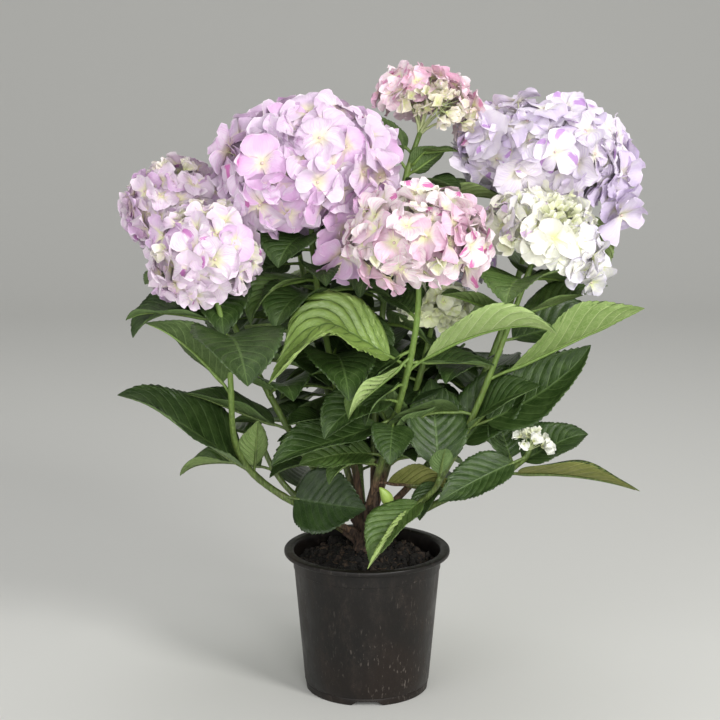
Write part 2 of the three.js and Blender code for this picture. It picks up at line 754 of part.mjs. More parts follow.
addNode(model, 'pot', new THREE.Vector3(), PLASTIC);
addNode(model, 'soil', new THREE.Vector3(0, 0, FLOOR_TOP), SOIL);
addNode(model, 'woody_base', new THREE.Vector3(0, STOOL_Y, STOOL_FOOT), BARK);
for (const { name, shoot, curve } of plants) {
  const branch = new THREE.Group();
  addNode(branch, `stem_${name}`, curve.getPoint(0), STEM);
  addNode(branch, `leaves_${name}`, curve.getPoint(0.5), LEAF);
  if (shoot.bloom.florets > 0) {
    const look = { color: BLOOM_COLORS[name], roughness: 0.6, metalness: 0 };
    addNode(branch, `bloom_${name}`, polar(...shoot.bloom.middle), look);
  }
  model.add(branch);
}

export default model;
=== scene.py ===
import math

import bpy
import numpy as np
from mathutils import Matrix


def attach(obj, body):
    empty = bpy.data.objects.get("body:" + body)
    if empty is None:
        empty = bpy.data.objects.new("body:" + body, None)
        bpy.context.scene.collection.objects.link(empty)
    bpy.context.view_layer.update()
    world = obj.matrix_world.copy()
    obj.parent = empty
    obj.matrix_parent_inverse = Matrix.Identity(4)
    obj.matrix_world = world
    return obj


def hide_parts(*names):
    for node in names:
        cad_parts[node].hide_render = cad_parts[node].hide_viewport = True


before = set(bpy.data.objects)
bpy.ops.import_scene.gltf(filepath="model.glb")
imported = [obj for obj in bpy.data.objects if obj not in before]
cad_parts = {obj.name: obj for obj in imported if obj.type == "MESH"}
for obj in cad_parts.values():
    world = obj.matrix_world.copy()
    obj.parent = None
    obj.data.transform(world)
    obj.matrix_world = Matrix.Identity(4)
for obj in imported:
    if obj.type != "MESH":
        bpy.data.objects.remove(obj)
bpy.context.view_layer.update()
MM = 0.001

# Pot
POT_HEIGHT = 165
POT_SIDES = 240
RIM_RADIUS = 95
RIM_DEPTH = 6.5
NECK_RADIUS = 85.2
SHOULDER_DROP = 22
SHOULDER_STEP = 0.8
LIP_ROUND = 2.2
MOUTH_ROUND = 4
FOOT_RADIUS = 71
FOOT_HEIGHT = 8
FOOT_ROUND = 1.2
WALL_FOOT = FOOT_RADIUS + 1
WALL_INSET = 1.6
WALL_STEPS = 10
SHARP_EDGE = 50
WALL = 2
FLOOR_TOP = 6.5
PAD_RADIUS = 38
PAD_BEVEL = 6
RECESS_INNER = 42
RECESS_OUTER = 62
RECESS_HEIGHT = 4
DRAIN_COUNT = 8
DRAIN_RADIUS = 5
DRAIN_RING = 52
DRAIN_SIDES = 24
NOTCH_COUNT = 4
NOTCH_WIDTH = 36
NOTCH_HEIGHT = 5.5
NOTCH_SLOPE = 7

# Soil
SOIL_GAP = 0.3
SOIL_EDGE = 148
SOIL_TOP = 157
SOIL_PATCH = 24
SOIL_RINGS = 73
SOIL_SIDES = 260
SOIL_LUMPS = ((5, 17, 1), (3.4, 6.5, 2), (1.8, 2.7, 3))
SOIL_LUMPS_MIDDLE = 6.4
SOIL_SINK = 0.8
SOIL_SHRUNK = 0.2
SOIL_SEED = 5
SOIL_CRUMBS = 900
CRUMB_EDGE = 5
CRUMB_SIZE = (0.8, 3.6)
CRUMB_ROUGH = 0.35
CRUMB_STRETCH = (0.6, 0.8)
CRUMB_RAISED = 0.35
BROWN_CRUMBS = 0.3
SOIL_FIBRES = 60
FIBRE_EDGE = 14
FIBRE_LENGTH = (5, 9)
FIBRE_BEND = 1.5
FIBRE_RAISED = (0.6, 1.2)
FIBRE_RADIUS = (0.22, 0.25)
FIBRE_SIDES = 5

# Woody stool
STOOL_Y = 20
STOOL_FOOT = SOIL_TOP + 0.3
STOOL_RADIUS = 17
STOOL_HEIGHT = 16
STOOL_SIDES = 40
PRONG_FOOT_SHARE = 0.3
PRONG_FOOT_RADIUS = 7.5
PRONG_TIP_RADIUS = 5.5
PRONG_STEPS = 12
PRONG_SIDES = 16
PRONG_BEND = 12
PRONG_SLIMMED = 0.96
BARK_VOXEL = 1.1
BARK_RELIEF = 0.9
BARK_RELIEF_MIDDLE = 1.35
BARK_STRETCH = 0.16

# Shoots and leaves
STEM_FOOT_RADIUS = 4.8
STEM_TIP_RADIUS = 3.2
STEM_SLIMMED = 0.9
STEM_STEP = 2.5
STEM_SIDES = 14
STEM_FOOT_SUNK = 5
NODE_SWELL = 0.1
NODE_LENGTH = 4.5
PETIOLE_RADIUS = 2.2
PETIOLE_SIDES = 8
PETIOLE_STEPS = 7
RIB_TIP_RADIUS = 0.25
RIB_ENDS = (0.05, 0.96)
RIB_STEPS = 18
PETIOLE_SHARE = 0.18
PETIOLE_EXTRA = 6
WINGED_SHARE = 0.6
ROUND_BASE = 0.65
NARROW_BASE = 1.3
TIP_POWER = 0.95
FOLDED_AT = 0.57
FOLD_REACH = 0.13
FOLD_UNTWIST = 1.15
TIP_CURL = 45
BLADE_WIDTH = 0.7
BLADE_FOLD = 20
BLADE_GRID = (72, 12)
FAR_GRID = (52, 8)
FAR_SHOOTS = ("back_left", "back_right", "low_back", "low_left")
BLADE_THICKNESS = 0.45
VEIN_SPACING = 0.105
TOOTH_DEPTH = 3.4
TOOTH_SPACING = 0.046
VEIN_LAG = (0.22, 0.12)
QUILT_HEIGHT = 2.1
QUILT_VALLEY = 0.08
RIB_WIDTH = 2.5
BLADE_WAVE = 0.09
BLADE_WAVES = 1.4
LEAF_TWIST = 10
LEAST_HALF = 0.35
TEETH_FULL_AT = 130
TEETH_DEPTHS = (0.7, 0.6)
QUILT_MIDDLE = 0.6
PAIR_GAP = 0.004
LEAF_STEPS = 200
STEM_UNEVEN = (0.96, 0.08)
MATE_SWING = 10

# Smaller leaves inside the shrub, where it is dense: ellipses seen from the front,
# as [middle x, middle z, half width, half height]
INNER_PARTS = ((5, 362, 128, 122), (-70, 490, 62, 62), (90, 500, 70, 50))
INNER_FRONT = -35
INNER_GRID = (30, 8)
INNER_REACH = 0.85
INNER_CLIMB = 10
INNER_LENGTH = (80, 45)
INNER_RISE = (10, 45)
INNER_DROOP = (25, 55)
INNER_ROLL = 60
INNER_SWING = 40
# Share of the inner leaves in the dark tint; the rest take the deep tint, which is painted shade.
INNER_DARK = 0.35
NODE_STEP = 36
BARE_NODES = 3
TOP_NODE = 0.94

# Blooms
NECK_DROP = 0.85
GOLDEN_TURN = 137.508
OUTER_DEPTH = 0.94
OUTER_SCATTER = 0.2
INNER_DEPTH = 0.78
INNER_SCATTER = 0.16
CROWN_DROP = 0.07
SEPAL_ROWS = 8
SEPAL_COLUMNS = 6
SEPAL_WIDEST = 0.56
SEPAL_TOP = 0.985
SEPAL_CLAW = 0.2
SEPAL_WOBBLE = 0.05
SEPAL_LENGTH = (0.84, 0.3)
SEPAL_BREADTH = (0.5, 0.14)
SEPAL_HEART = 0.04
ROOT_SCATTER = 30
TIP_SCATTER = 65
SEPAL_SWING = 0.5
SEPAL_RUFFLE = (0.05, 0.08)
SEPAL_CRIMP = 0.045
SEPAL_CUP = (-0.04, 0.3)
SEPAL_CREASE = 0.06
SEPAL_TILT = 0.12
TILT_SCATTER = 0.5
SEPAL_SAG = 0.2
RAY_COUNT = 9
RAY_RADII = (2.0, 1.2)
RAY_REACH = 0.55
RAY_SCATTER = 0.05
RAY_RISE = 0.35
THREAD_BEND = 0.4
RAY_SIDES = 7
THREAD_RADIUS = 0.62
THREAD_SIDES = 5
RAY_STEPS = 6
RAY_HINT = np.array((0.3, 1.0, 0.2))
FULL_BLOOM = 45
CENTRE_SIZE = 0.055
CENTRE_LEAST = 0.35
CENTRE_FLAT = 0.8
CENTRE_LIFT = 0.7
CENTRE_HINT = (0.31, 0.9, 0.3)
PHASES = 6.28
FLORET_SIZES = (0.85, 0.28)

# Kinds of floret, in the order of their looks: main, pale, deep, marked and young
KIND_SHARES = (0.4, 0.64, 0.82)
YOUNG_SIZE = 0.68
YOUNG_RAGGED = 0.3
YOUNG_SPREAD = 1.5
YOUNG_STRAY = 0.5
YOUNG_OPEN = (40, 92)
HUB_DROP = 0.8
DEEP_FROM = 0.72
KIND_DEEP = 2
KIND_YOUNG = 4
HANGING_FACE = (0, -60, -10)
FACING_SCATTER = 1.45

# Numbers of the draws of chance, for leaves and for florets
WAVE_DRAWS = np.array((301, 302))
TWIST_DRAW = 303
CURL_DRAW = 304
TOOTH_DRAW = 305
DEPTH_DRAW = 50
FACING_DRAWS = (90, 130)
SIZE_DRAW = 170
TURN_DRAW = 210
YOUNG_DRAW = 700
KIND_DRAW = 800
INNER_DRAWS = 500
RAY_DRAWS = 900
SEPAL_DRAWS = 1000

# Cells of the map that the looks' patterns are laid out in, one for each kind of floret
MAP_COLUMNS = 4
MAP_ROWS = 4
MAP_EDGE = 0.03
SEPAL_CELLS = np.array((0, 5, 10, 15, 12))

# Each shoot rises from the stool at start [azimuth, reach, height], sets off along
# way [azimuth, lean, stride] and ends under its bloom, which has its middle
# [azimuth, reach, height], half width, half height and neck [lean, azimuth, stride].
# Leaves are [place on the shoot, azimuth, length, rise, droop, roll, length of the
# opposite leaf, breadth, tint].
SHOOTS = {
    "left_front": {
        "start": (185, 20, 180),
        "way": (180, 65, 215),
        "bloom": {"middle": (-157, 190, 511), "wide": 56, "high": 60, "neck": (15, -170, 165)},
        "leaves": [
            # The deep tint on the first and fourth leaves here is painted shade.
            (0.17, -25, 105, -4, -5, 60, 0, 1.3, "deep"),
            (0.27, 187, 190, 40, 8, -10, 0, 1, "dark"),
            (0.3, -60, 66, 85, 10, 0, 0, 1, "mid"),
            (0.72, 193, 128, 60, 33, 30, 0, 1, "deep"),
            (0.91, -75, 132, 20, 68, 0, 0, 1.25, "dark"),
            (0.95, 170, 111, 16, 27, -5, 0, 1, "dark"),
        ],
    },
    "front": {
        "start": (-75, 10, 214),
        "way": (-45, 20, 120),
        "bloom": {"middle": (-65, 121, 535), "wide": 76, "high": 56, "neck": (12, -105, 75)},
        "leaves": [
            (0.08, 0, 95, 0, 10, -40, 0, 1, "olive"),
            (0.19, 201, 102, 15, 33, -30, 0, 1, "mid"),
            (0.35, 203, 154, -18, -13, -10, 0, 0.85, "dark"),
            (0.56, -20, 181, 41, 41, -15, 0, 0.85, "light"),
            (0.63, 204, 98, -36, 0, 20, 0, 1.2, "light"),
            (0.58, 203, 202, 32, 86, -43, 0, 0.66, "bright"),
            (0.8, 118, 80, 35, 50, 0, 0, 1, "dark"),
        ],
    },
    "right": {
        "start": (-15, 24, 188),
        "way": (-15, 70, 70),
        "bloom": {"middle": (-10, 194, 530), "wide": 68, "high": 48, "neck": (20, 10, 170)},
        "leaves": [
            (0.46, 5, 139, 53, 10, 40, 0, 1, "dark"),
            (0.57, -10, 169, 19, -32, 45, 0, 0.85, "dark"),
            (0.72, -5, 188, 26, 0, -25, 0, 0.85, "fresh"),
            (0.89, 13, 114, 15, 0, 0, 0.8, 1, "mid"),
            (0.97, -107, 104, 22, 50, 0, 0.8, 1.5, "mid"),
            (0.98, 15, 62, 6, 32, 0, 0, 1, "dark"),
            (0.25, 50, 130, 10, 40, 0, 0, 1, "dark"),
        ],
    },
    "low_right": {
        "start": (-35, 26, 180),
        "way": (-20, 50, 80),
        "bloom": {"middle": (-15, 188, 299), "wide": 18, "high": 15, "neck": (18, -10, 25)},
        "leaves": [
            (0.67, -15, 158, 11, 27, -12, 0, 0.8, "olive"),
            (0.79, 118, 72, 54, 0, 0, 0, 1.3, "dark"),
            (0.78, 15, 96, 30, 15, 25, 0, 1.1, "dark"),
            (0.95, 200, 113, -17, 9, -35, 0, 0.8, "dark"),
        ],
    },
    "low_front": {
        "start": (-70, 25, 183),
        "way": (-40, 50, 40),
        "bloom": {"middle": (-35, 98, 268), "wide": 10, "high": 10, "neck": (30, -90, 30)},
        "leaves": [
            (0.7, -140, 108, -18, 32, 0, 0, 1, "mid"),
            (0.95, 98, 120, 72, 25, 0, 0.4, 1, "dark"),
        ],
    },
    "young": {
        "start": (-20, 10, 228),
        "way": (0, 25, 80),
        "bloom": {"middle": (-7, 77, 447), "wide": 34, "high": 28, "neck": (12, -25, 80)},
        "leaves": [
            (0.72, 60, 100, 30, 40, 0, 0, 1, "dark"),
            (0.3, -130, 110, 60, 20, 0, 0, 1, "dark"),
        ],
    },
    "top": {
        "start": (45, 11, 220),
        "way": (60, 0, 150),
        "bloom": {"middle": (36, 85, 660), "wide": 62, "high": 44, "neck": (20, 5, 100)},
        "leaves": [
            (0.81, 0, 121, 6, 17, 0, 0, 1, "light"),
            (0.83, -46, 90, 18, 30, 0, 0, 1, "dark"),
            (0.89, 165, 92, 55, 20, 40, 0.42, 1, "dark"),
            (0.95, 175, 60, 50, 40, 50, 0, 0.9, "dark"),
            (0.96, -15, 52, 4, 0, 0, 0, 0.7, "mid"),
            (0.5, 150, 120, 30, 50, 0, 0, 1, "dark"),
            (0.35, 190, 130, 60, 25, 0, 0, 1, "dark"),
            (0.62, -110, 114, 22, 75, 0, 0, 1, "dark"),
        ],
    },
    "right_top": {
        "start": (15, 20, 200),
        "way": (15, 50, 135),
        "bloom": {"middle": (17, 210, 612), "wide": 102, "high": 66, "neck": (10, 15, 155)},
        "leaves": [
            (0.61, 16, 143, 11, 0, 30, 0, 1, "dark"),
            (0.96, 3, 114, 4, 77, -20, 0.8, 1, "light"),
            (0.4, 70, 150, 35, 45, 0, 0, 1, "dark"),
            (0.8, 60, 140, 20, 50, 0, 0, 1, "mid"),
            (0.53, -115, 130, 25, 40, 0, 0, 1, "dark"),
        ],
    },
    "large": {
        "start": (125, 12, 208),
        "way": (150, 10, 110),
        "bloom": {"middle": (-159, 69, 604), "wide": 98, "high": 76, "neck": (5, -120, 125)},
        "leaves": [
            (0.82, 212, 105, 16, 77, 0, 0, 1, "mid"),
            (0.92, 199, 82, 6, 18, -30, 0.9, 1.1, "dark"),
            (0.45, 75, 140, 35, 40, 0, 0.8, 1, "dark"),
            (0.66, 120, 135, 35, 60, 0, 0, 1, "mid"),
            (0.28, -132, 100, 32, 40, 0, 0, 1, "dark"),
            (0.55, -80, 140, 25, 65, 0, 0, 1, "dark"),
        ],
    },
    "left_back": {
        "start": (150, 18, 192),
        "way": (170, 45, 110),
        "bloom": {"middle": (177, 217, 557), "wide": 54, "high": 50, "neck": (28, 170, 120)},
        "leaves": [
            (0.36, 183, 128, 22, 0, 0, 0, 1, "dark"),
            (0.6, 110, 140, 30, 40, 0, 0, 1, "mid"),
            (0.82, 140, 120, 15, 30, 0, 0, 1, "dark"),
            (0.48, -75, 130, 35, 45, 0, 0, 1, "dark"),
        ],
    },
    "back_left": {
        "start": (110, 22, 190),
        "way": (125, 30, 110),
        "bloom": {"middle": (122, 170, 545), "wide": 70, "high": 55, "neck": (20, 120, 110)},
        "leaves": [
            (0.3, 160, 140, 20, 40, 0, 0, 1, "dark"),
            (0.48, 110, 150, 35, 50, 0, 0, 1, "mid"),
            (0.66, 25, 130, 32, 45, 0, 0.9, 1, "dark"),
            (0.84, 110, 130, 15, 50, 0, 0, 1, "bright"),
        ],
    },
    "back_right": {
        "start": (75, 22, 186),
        "way": (60, 35, 100),
        "bloom": {"middle": (58, 165, 490), "wide": 64, "high": 50, "neck": (22, 60, 100)},
        "leaves": [
            (0.3, 20, 140, 20, 40, 0, 0, 1, "dark"),
            (0.48, 80, 150, 35, 50, 0, 0, 1, "mid"),
            (0.66, 130, 140, 20, 45, 0, 0.7, 1, "dark"),
            (0.84, 60, 130, 15, 50, 0, 0, 1, "mid"),
        ],
    },
    "low_back": {
        "start": (95, 30, 176),
        "way": (95, 60, 80),
        "bloom": {"middle": (95, 140, 330), "wide": 10, "high": 10, "neck": (20, 95, 60)},
        "leaves": [
            (0.4, 20, 140, 20, 40, 0, 0.9, 1, "dark"),
            (0.68, 100, 130, 15, 40, 0, 0, 1, "mid"),
            (0.95, 65, 120, 30, 60, 0, 0, 1, "bright"),
        ],
    },
    "low_left": {
        "start": (150, 30, 174),
        "way": (155, 65, 80),
        "bloom": {"middle": (150, 150, 290), "wide": 10, "high": 10, "neck": (20, 150, 60)},
        "leaves": [
            (0.4, 80, 130, 20, 40, 0, 0, 1, "dark"),
            (0.68, 160, 130, 15, 40, 0, 0, 1, "mid"),
            (0.95, 130, 120, 15, 50, 0, 0, 1, "mid"),
        ],
    },
}

# Each bloom's outer and inner florets, their radius, how far round from its crown they
# reach in degrees, the share that is still young, how open the rest are [lift at root,
# lift at tip], the side where the young ones are if not at its crown, the side that is
# deeper in colour, the places in millimetres of florets that hang out of its dome, and
# its colours: main, pale, deep, heart and blotch.
BLOOMS = {
    "left_front": {
        "florets": (48, 28), "size": 25, "wrap": 132, "young": 0.06, "open": (35, -20),
        "colours": ("#e6cfe6", "#f0e8ec", "#dab2de", "#eeedc0", "#c865bd"),
    },
    "front": {
        "florets": (66, 34), "size": 24.5, "wrap": 120, "young": 0.08, "open": (38, -18),
        "colours": ("#efdbe4", "#f5f0ea", "#e6b6d2", "#f0f2c0", "#d750aa"),
    },
    "right": {
        "florets": (62, 30), "size": 24, "wrap": 115, "young": 0.12, "open": (38, -12),
        "young_way": (0.35, -0.6, 0.7), "deep_way": (0.75, -0.35, -0.55),
        "hanging": ((238, -52, 508), (249, -46, 495), (230, -60, 492), (242, -54, 480)),
        "colours": ("#f6f6e6", "#fbfbef", "#e4def3", "#eaf0b4", "#d9b4e2"),
    },
    "low_right": {
        "florets": (13, 0), "size": 12, "wrap": 92, "young": 0.3, "open": (66, 52),
        "colours": ("#f4f5ec", "#fafaf4", "#e6ebcc", "#e3e9ae", "#dfe5c0"),
    },
    "young": {
        "florets": (46, 20), "size": 15, "wrap": 118, "young": 0.2, "open": (48, 10),
        "colours": ("#f9fcdc", "#fdfee8", "#eff6c0", "#e9f2a8", "#dfe9a8"),
    },
    "top": {
        "florets": (56, 26), "size": 21.5, "wrap": 98, "young": 0.22, "open": (38, -8),
        "young_way": (0.1, -1, -0.1),
        "colours": ("#f9dfeb", "#fcf3ef", "#f3c0dc", "#f1f4bc", "#e488bc"),
    },
    "right_top": {
        "florets": (88, 42), "size": 29, "wrap": 127, "young": 0.0, "open": (30, -20),
        "deep_way": (0.8, 0.1, -0.6),
        "hanging": ((278, 30, 552), (288, 40, 562), (272, 36, 566), (284, 24, 545)),
        "colours": ("#e8def0", "#f2ecf4", "#d9c8e8", "#efedd6", "#bd84d2"),
    },
    "large": {
        "florets": (92, 44), "size": 32, "wrap": 136, "young": 0.0, "open": (28, -22),
        "deep_way": (0.3, -0.4, -0.85),
        "hanging": ((-24, -62, 538), (-33, -57, 527), (-22, -60, 517), (-30, -60, 508)),
        "colours": ("#e0c6e3", "#eadcea", "#dcaeda", "#efe6c6", "#cf55b0"),
    },
    "left_back": {
        "florets": (42, 24), "size": 24, "wrap": 118, "young": 0.12, "open": (35, -20),
        "colours": ("#e4cde4", "#efe6ea", "#d3a8d6", "#eeeabc", "#c26dc0"),
    },
    "back_left": {
        "florets": (58, 24), "size": 23.5, "wrap": 118, "young": 0.05, "open": (34, -20),
        "colours": ("#e2ceea", "#eee5f1", "#cfacdc", "#efeacd", "#c078c6"),
    },
    "back_right": {
        "florets": (52, 24), "size": 22.5, "wrap": 118, "young": 0.1, "open": (34, -20),
        "colours": ("#e2d2ee", "#eeeaf3", "#cab0e0", "#efeacd", "#b484ce"),
    },
}
YOUNG_COLOUR = "#e8ecbe"
SEPAL_RIM = "#fbf6fa"

# Each leaf tint's colours on its upper face, its veins, its lower face and its veins there,
# how strongly the upper veins show, how deep the quilting is, how the blade widens from its
# base, and the cells of the map for its two faces.
TINTS = {
    "dark": {
        "colours": ("#294017", "#6c864c", "#5a7440", "#92a870"),
        "veins": 0.5, "quilt": 0.7, "base": ROUND_BASE, "cells": (0, 15),
    },
    "mid": {
        "colours": ("#46602a", "#86a05c", "#748d4e", "#a9bb7e"),
        "veins": 0.45, "quilt": 1.3, "base": ROUND_BASE, "cells": (5, 10),
    },
    "light": {
        "colours": ("#75934e", "#a9c07e", "#9ab36c", "#c4d39a"),
        "veins": 0.5, "quilt": 2.0, "base": NARROW_BASE, "cells": (1, 14),
    },
    # The bright tint's upper veins are darker than its face: painted shade in the sunken vein grooves.
    "bright": {
        "colours": ("#8aa652", "#46622a", "#9ab466", "#c9d69c"),
        "veins": 0.75, "quilt": 2.7, "base": ROUND_BASE, "cells": (4, 11),
    },
    "olive": {
        "colours": ("#3f5526", "#82964f", "#6c7238", "#a0a060"),
        "veins": 0.35, "quilt": 1, "base": ROUND_BASE, "cells": (2, 13),
    },
    # The deep tint is a darker green than the leaves have: painted shade for leaves deep inside the
    # shrub and for leaves that lie in shadow.
    "deep": {
        "colours": ("#1e3112", "#4c6436", "#42562b", "#708552"),
        "veins": 0.3, "quilt": 0.7, "base": ROUND_BASE, "cells": (3, 12),
    },
    "fresh": {
        "colours": ("#5c7838", "#93aa66", "#7a9450", "#b0c284"),
        "veins": 0.5, "quilt": 2.0, "base": NARROW_BASE, "cells": (6, 9),
    },
}
LOWER_VEINS = 0.8

# Roughness and specular level of a leaf's two faces
LEAF_GLOSS = {"upper": (0.36, 0.5), "lower": (0.6, 0.25)}

# Floor that the plant stands on for the render, in metres
FLOOR_REACH = 8
FLOOR_BACK = 2.6
SWEEP_RADIUS = 1.6
FLOOR_COLOUR = "#d8d8d4"
SKY_GREY = (0.92, 0.92, 0.92, 1)
SKY_STRENGTH = 0.43

# Camera, in metres, millimetres and degrees
CAMERA_AT = (-0.008, -1.9, 0.753)
CAMERA_DOWN = 11
LENS = 86.1
SENSOR = 36

# Each light's place, size, power and colour, all aimed at the middle of the plant
LIGHTS_AIM = (0, 0, 0.4)
LIGHTS = {
    "key": ((1.75, -1.85, 1.75), 0.8, 44, (1.0, 0.99, 0.97)),
    "fill": ((-1.6, -2.2, 1.3), 2.4, 20, (0.98, 0.98, 1.0)),
    "front": ((0.35, -2.5, 0.95), 1.1, 25, (1.0, 0.995, 0.985)),
    "top": ((0.1, 0.9, 2.6), 1.8, 14, (1.0, 1.0, 1.0)),
}

# More leaves, most of them on the sides that face the front, in the form of the shoots' leaves
FINER_LEAVES = {
    "right": [
        (0.53, -28, 118, 60, 50, 25, 0, 0.95, "dark"),
        (0.37, 230, 60, -25, 40, 0, 0, 1, "dark"),
    ],
    "front": [
        (0.6, 8, 95, 6, 20, 10, 0, 1, "dark"),
        (0.14, -150, 78, 40, 95, 0, 0, 1, "mid"),
        (0.24, -15, 84, 50, 30, 0, 0, 1, "dark"),
        (0.42, 215, 112, 20, 70, -20, 0, 1, "dark"),
        (0.66, 172, 96, -22, 45, -25, 0, 1.35, "dark"),
        (0.5, -140, 74, 5, 75, 10, 0, 1.2, "dark"),
        (0.33, -95, 70, 0, 60, -10, 0, 1.2, "dark"),
    ],
    "young": [
        (0.12, -60, 74, 45, 45, 0, 0.8, 1, "dark"),
        (0.45, -165, 96, 40, 60, 0, 0.8, 1, "dark"),
    ],
    "large": [
        (0.2, -165, 90, 30, 40, 0, 0, 1, "dark"),
        (0.78, 10, 92, 20, 55, 0, 0, 1, "dark"),
        (0.955, -118, 84, 22, 78, 0, 0, 1.5, "dark"),
        (0.94, -30, 56, 50, 30, 20, 0, 1.2, "dark"),
        (0.86, -78, 72, 25, 60, 0, 0, 1.1, "dark"),
        (0.76, -118, 108, 30, 80, 0, 0, 1.1, "dark"),
        (0.67, -35, 104, 25, 80, 0, 0, 1, "dark"),
    ],
    "low_front": [
        (0.6, -127, 116, -20, 15, 75, 0, 0.3, "bright"),
    ],
    "back_left": [
        (0.92, 205, 112, 5, 45, -30, 0, 1.1, "dark"),
        (0.86, -20, 120, 20, 60, 0, 0, 1.1, "dark"),
        (0.76, -140, 120, 25, 70, 0, 0, 1.1, "dark"),
        (0.7, -55, 110, 20, 70, 0, 0, 1, "dark"),
    ],
    "top": [
        (0.7, -20, 96, 25, 60, 0, 0, 1, "mid"),
        (0.57, -70, 100, 20, 70, 0, 0, 1, "dark"),
        (0.87, 10, 56, 38, 10, -60, 0, 1.1, "dark"),
    ],
    "left_back": [
        (0.68, -30, 96, 30, 60, 0, 0, 1, "mid"),
        (0.28, -50, 90, 40, 50, 0, 0, 1, "dark"),
        (0.78, -150, 120, 10, 40, 0, 0, 1.1, "dark"),
        (0.84, -80, 110, 5, 50, 0, 0, 1.1, "dark"),
        (0.6, -35, 115, 15, 45, 0, 0, 1.2, "dark"),
    ],
}

# A closed leaf bud low on the shrub, in millimetres
BUD_FOOT = (25, -12, 216)
BUD_TIP = (14, -20, 241)
BUD_RADIUS = 6.5
BUD_BOW = (5, 0, 0)
BUD_STEPS = 20
BUD_SIDES = 16
BUD_STALK_FOOT = (6, 8, 196)
BUD_STALK_RADIUS = 2.2
BUD_STALK_BOW = (6, 0, 0)
BUD_STALK_SIDES = 10

UP = np.array((0.0, 0.0, 1.0))


def unit(vectors):
    """Vectors of the same directions and length 1."""
    return vectors / np.linalg.norm(vectors, axis=-1, keepdims=True)


def smooth(low, high, value):
    """A smooth step from 0 at low to 1 at high."""
    share = np.clip((value - low) / (high - low), 0, 1)
    return share * share * (3 - 2 * share)


def chance(first, second):
    """Numbers from 0 to 1 that depend only on their two seeds."""
    value = np.sin(first * 12.9898 + second * 78.233) * 43758.5453
    return value - np.floor(value)


def within(span, luck):
    """A value from a span, which is the least value and how much luck from 0 to 1 adds."""
    return span[0] + span[1] * luck


def polar(azimuth, reach, height):
    """The point at a reach from the pot's axis, towards an azimuth, and at a height."""
    turn = math.radians(azimuth)
    return np.array((reach * math.cos(turn), reach * math.sin(turn), height), float)


def leaning(lean, azimuth):
    """The upright direction, leaned towards an azimuth."""
    return polar(azimuth, math.sin(math.radians(lean)), math.cos(math.radians(lean)))


def noise(points, size, seed):
    """Smooth noise from 0 to 1 at points, with lumps of about the given size."""
    spot = points / size + seed * 17.3
    cell = np.floor(spot)
    part = spot - cell
    part = part * part * (3 - 2 * part)
    total = 0
    for corner in np.ndindex(2, 2, 2):
        at = cell + corner
        value = np.sin(at[..., 0] * 127.1 + at[..., 1] * 311.7 + at[..., 2] * 74.7) * 43758.5453
        weight = np.prod(np.where(np.array(corner) == 1, part, 1 - part), axis=-1)
        total = total + (value - np.floor(value)) * weight
    return total


def grid_faces(rows, columns, wrap=False):
    """Quads over a grid of points, row by row, closed round its columns if wrap is set."""
    row, column = np.meshgrid(np.arange(rows - 1), np.arange(columns - (not wrap)), indexing="ij")
    here = row * columns + column
    beside = row * columns + (column + 1) % columns
    return np.stack((here, beside, beside + columns, here + columns), -1).reshape(-1, 4)


class Pile:
    """Points and faces gathered for one piece."""

    def __init__(self):
        self.points = []
        self.corners = []
        self.sizes = []
        self.looks = []
        self.spots = []
        self.count = 0

    def add(self, points, *groups):
        """Each group is (faces with equally many corners, their look, map spots or None)."""
        for faces, look, spots in groups:
            self.corners.append((faces + self.count).ravel())
            self.sizes.append(np.full(len(faces), faces.shape[1]))
            self.looks.append(np.broadcast_to(look, len(faces)))
            if spots is None:
                spots = np.full((faces.size, 2), 0.5)
            self.spots.append(np.reshape(spots, (-1, 2)))
        self.points.append(points.reshape(-1, 3))
        self.count += self.points[-1].shape[0]

    def piece(self, name, looks, slot, replaced=(), mapped=False):
        """Makes the piece, which rides on the plant's one body."""
        sizes = np.concatenate(self.sizes)
        corners = np.concatenate(self.corners)
        mesh = bpy.data.meshes.new(name)
        mesh.vertices.add(self.count)
        mesh.vertices.foreach_set("co", np.concatenate(self.points).ravel() * MM)
        mesh.loops.add(len(corners))
        mesh.loops.foreach_set("vertex_index", corners)
        mesh.polygons.add(len(sizes))
        mesh.polygons.foreach_set("loop_start", np.concatenate(([0], np.cumsum(sizes)[:-1])))
        mesh.polygons.foreach_set("material_index", np.concatenate(self.looks).astype(np.int32))
        for look in looks:
            mesh.materials.append(look)
        if mapped:
            layer = mesh.uv_layers.new(name="OFBake")
            layer.uv.foreach_set("vector", np.concatenate(self.spots).astype(np.float32).ravel())
        mesh.update(calc_edges=True)
        mesh.shade_smooth()
        return place(mesh, name, slot, replaced)


def place(mesh, name, slot, replaced=()):
    """Puts a finished mesh in the scene as a piece of the plant."""
    mesh.name = name
    piece = bpy.data.objects.new(name, mesh)
    bpy.context.scene.collection.objects.link(piece)
    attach(piece, "root")
    if replaced:
        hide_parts(*replaced)
    return piece


def sweep(path, radii, sides, hint):
    """A closed round tube along a path: its points, its wall's quads and its two ends."""
    ahead = unit(np.gradient(path, axis=0))
    across = unit(hint - (ahead @ hint)[:, None] * ahead)
    along = np.cross(ahead, across)
    turn = np.arange(sides) * 2 * math.pi / sides
    ring = across[:, None] * np.cos(turn)[:, None] + along[:, None] * np.sin(turn)[:, None]
    points = path[:, None] + ring * np.broadcast_to(radii, len(path))[:, None, None]
    last = (len(path) - 1) * sides
    ends = np.array((np.arange(sides)[::-1], last + np.arange(sides)))
    return points.reshape(-1, 3), grid_faces(len(path), sides, wrap=True), ends


def add_tube(pile, path, radii, sides, hint, look=0):
    """Adds a closed round tube along a path to a pile."""
    points, walls, ends = sweep(path, radii, sides, hint)
    pile.add(points, (walls, look, None), (ends, look, None))


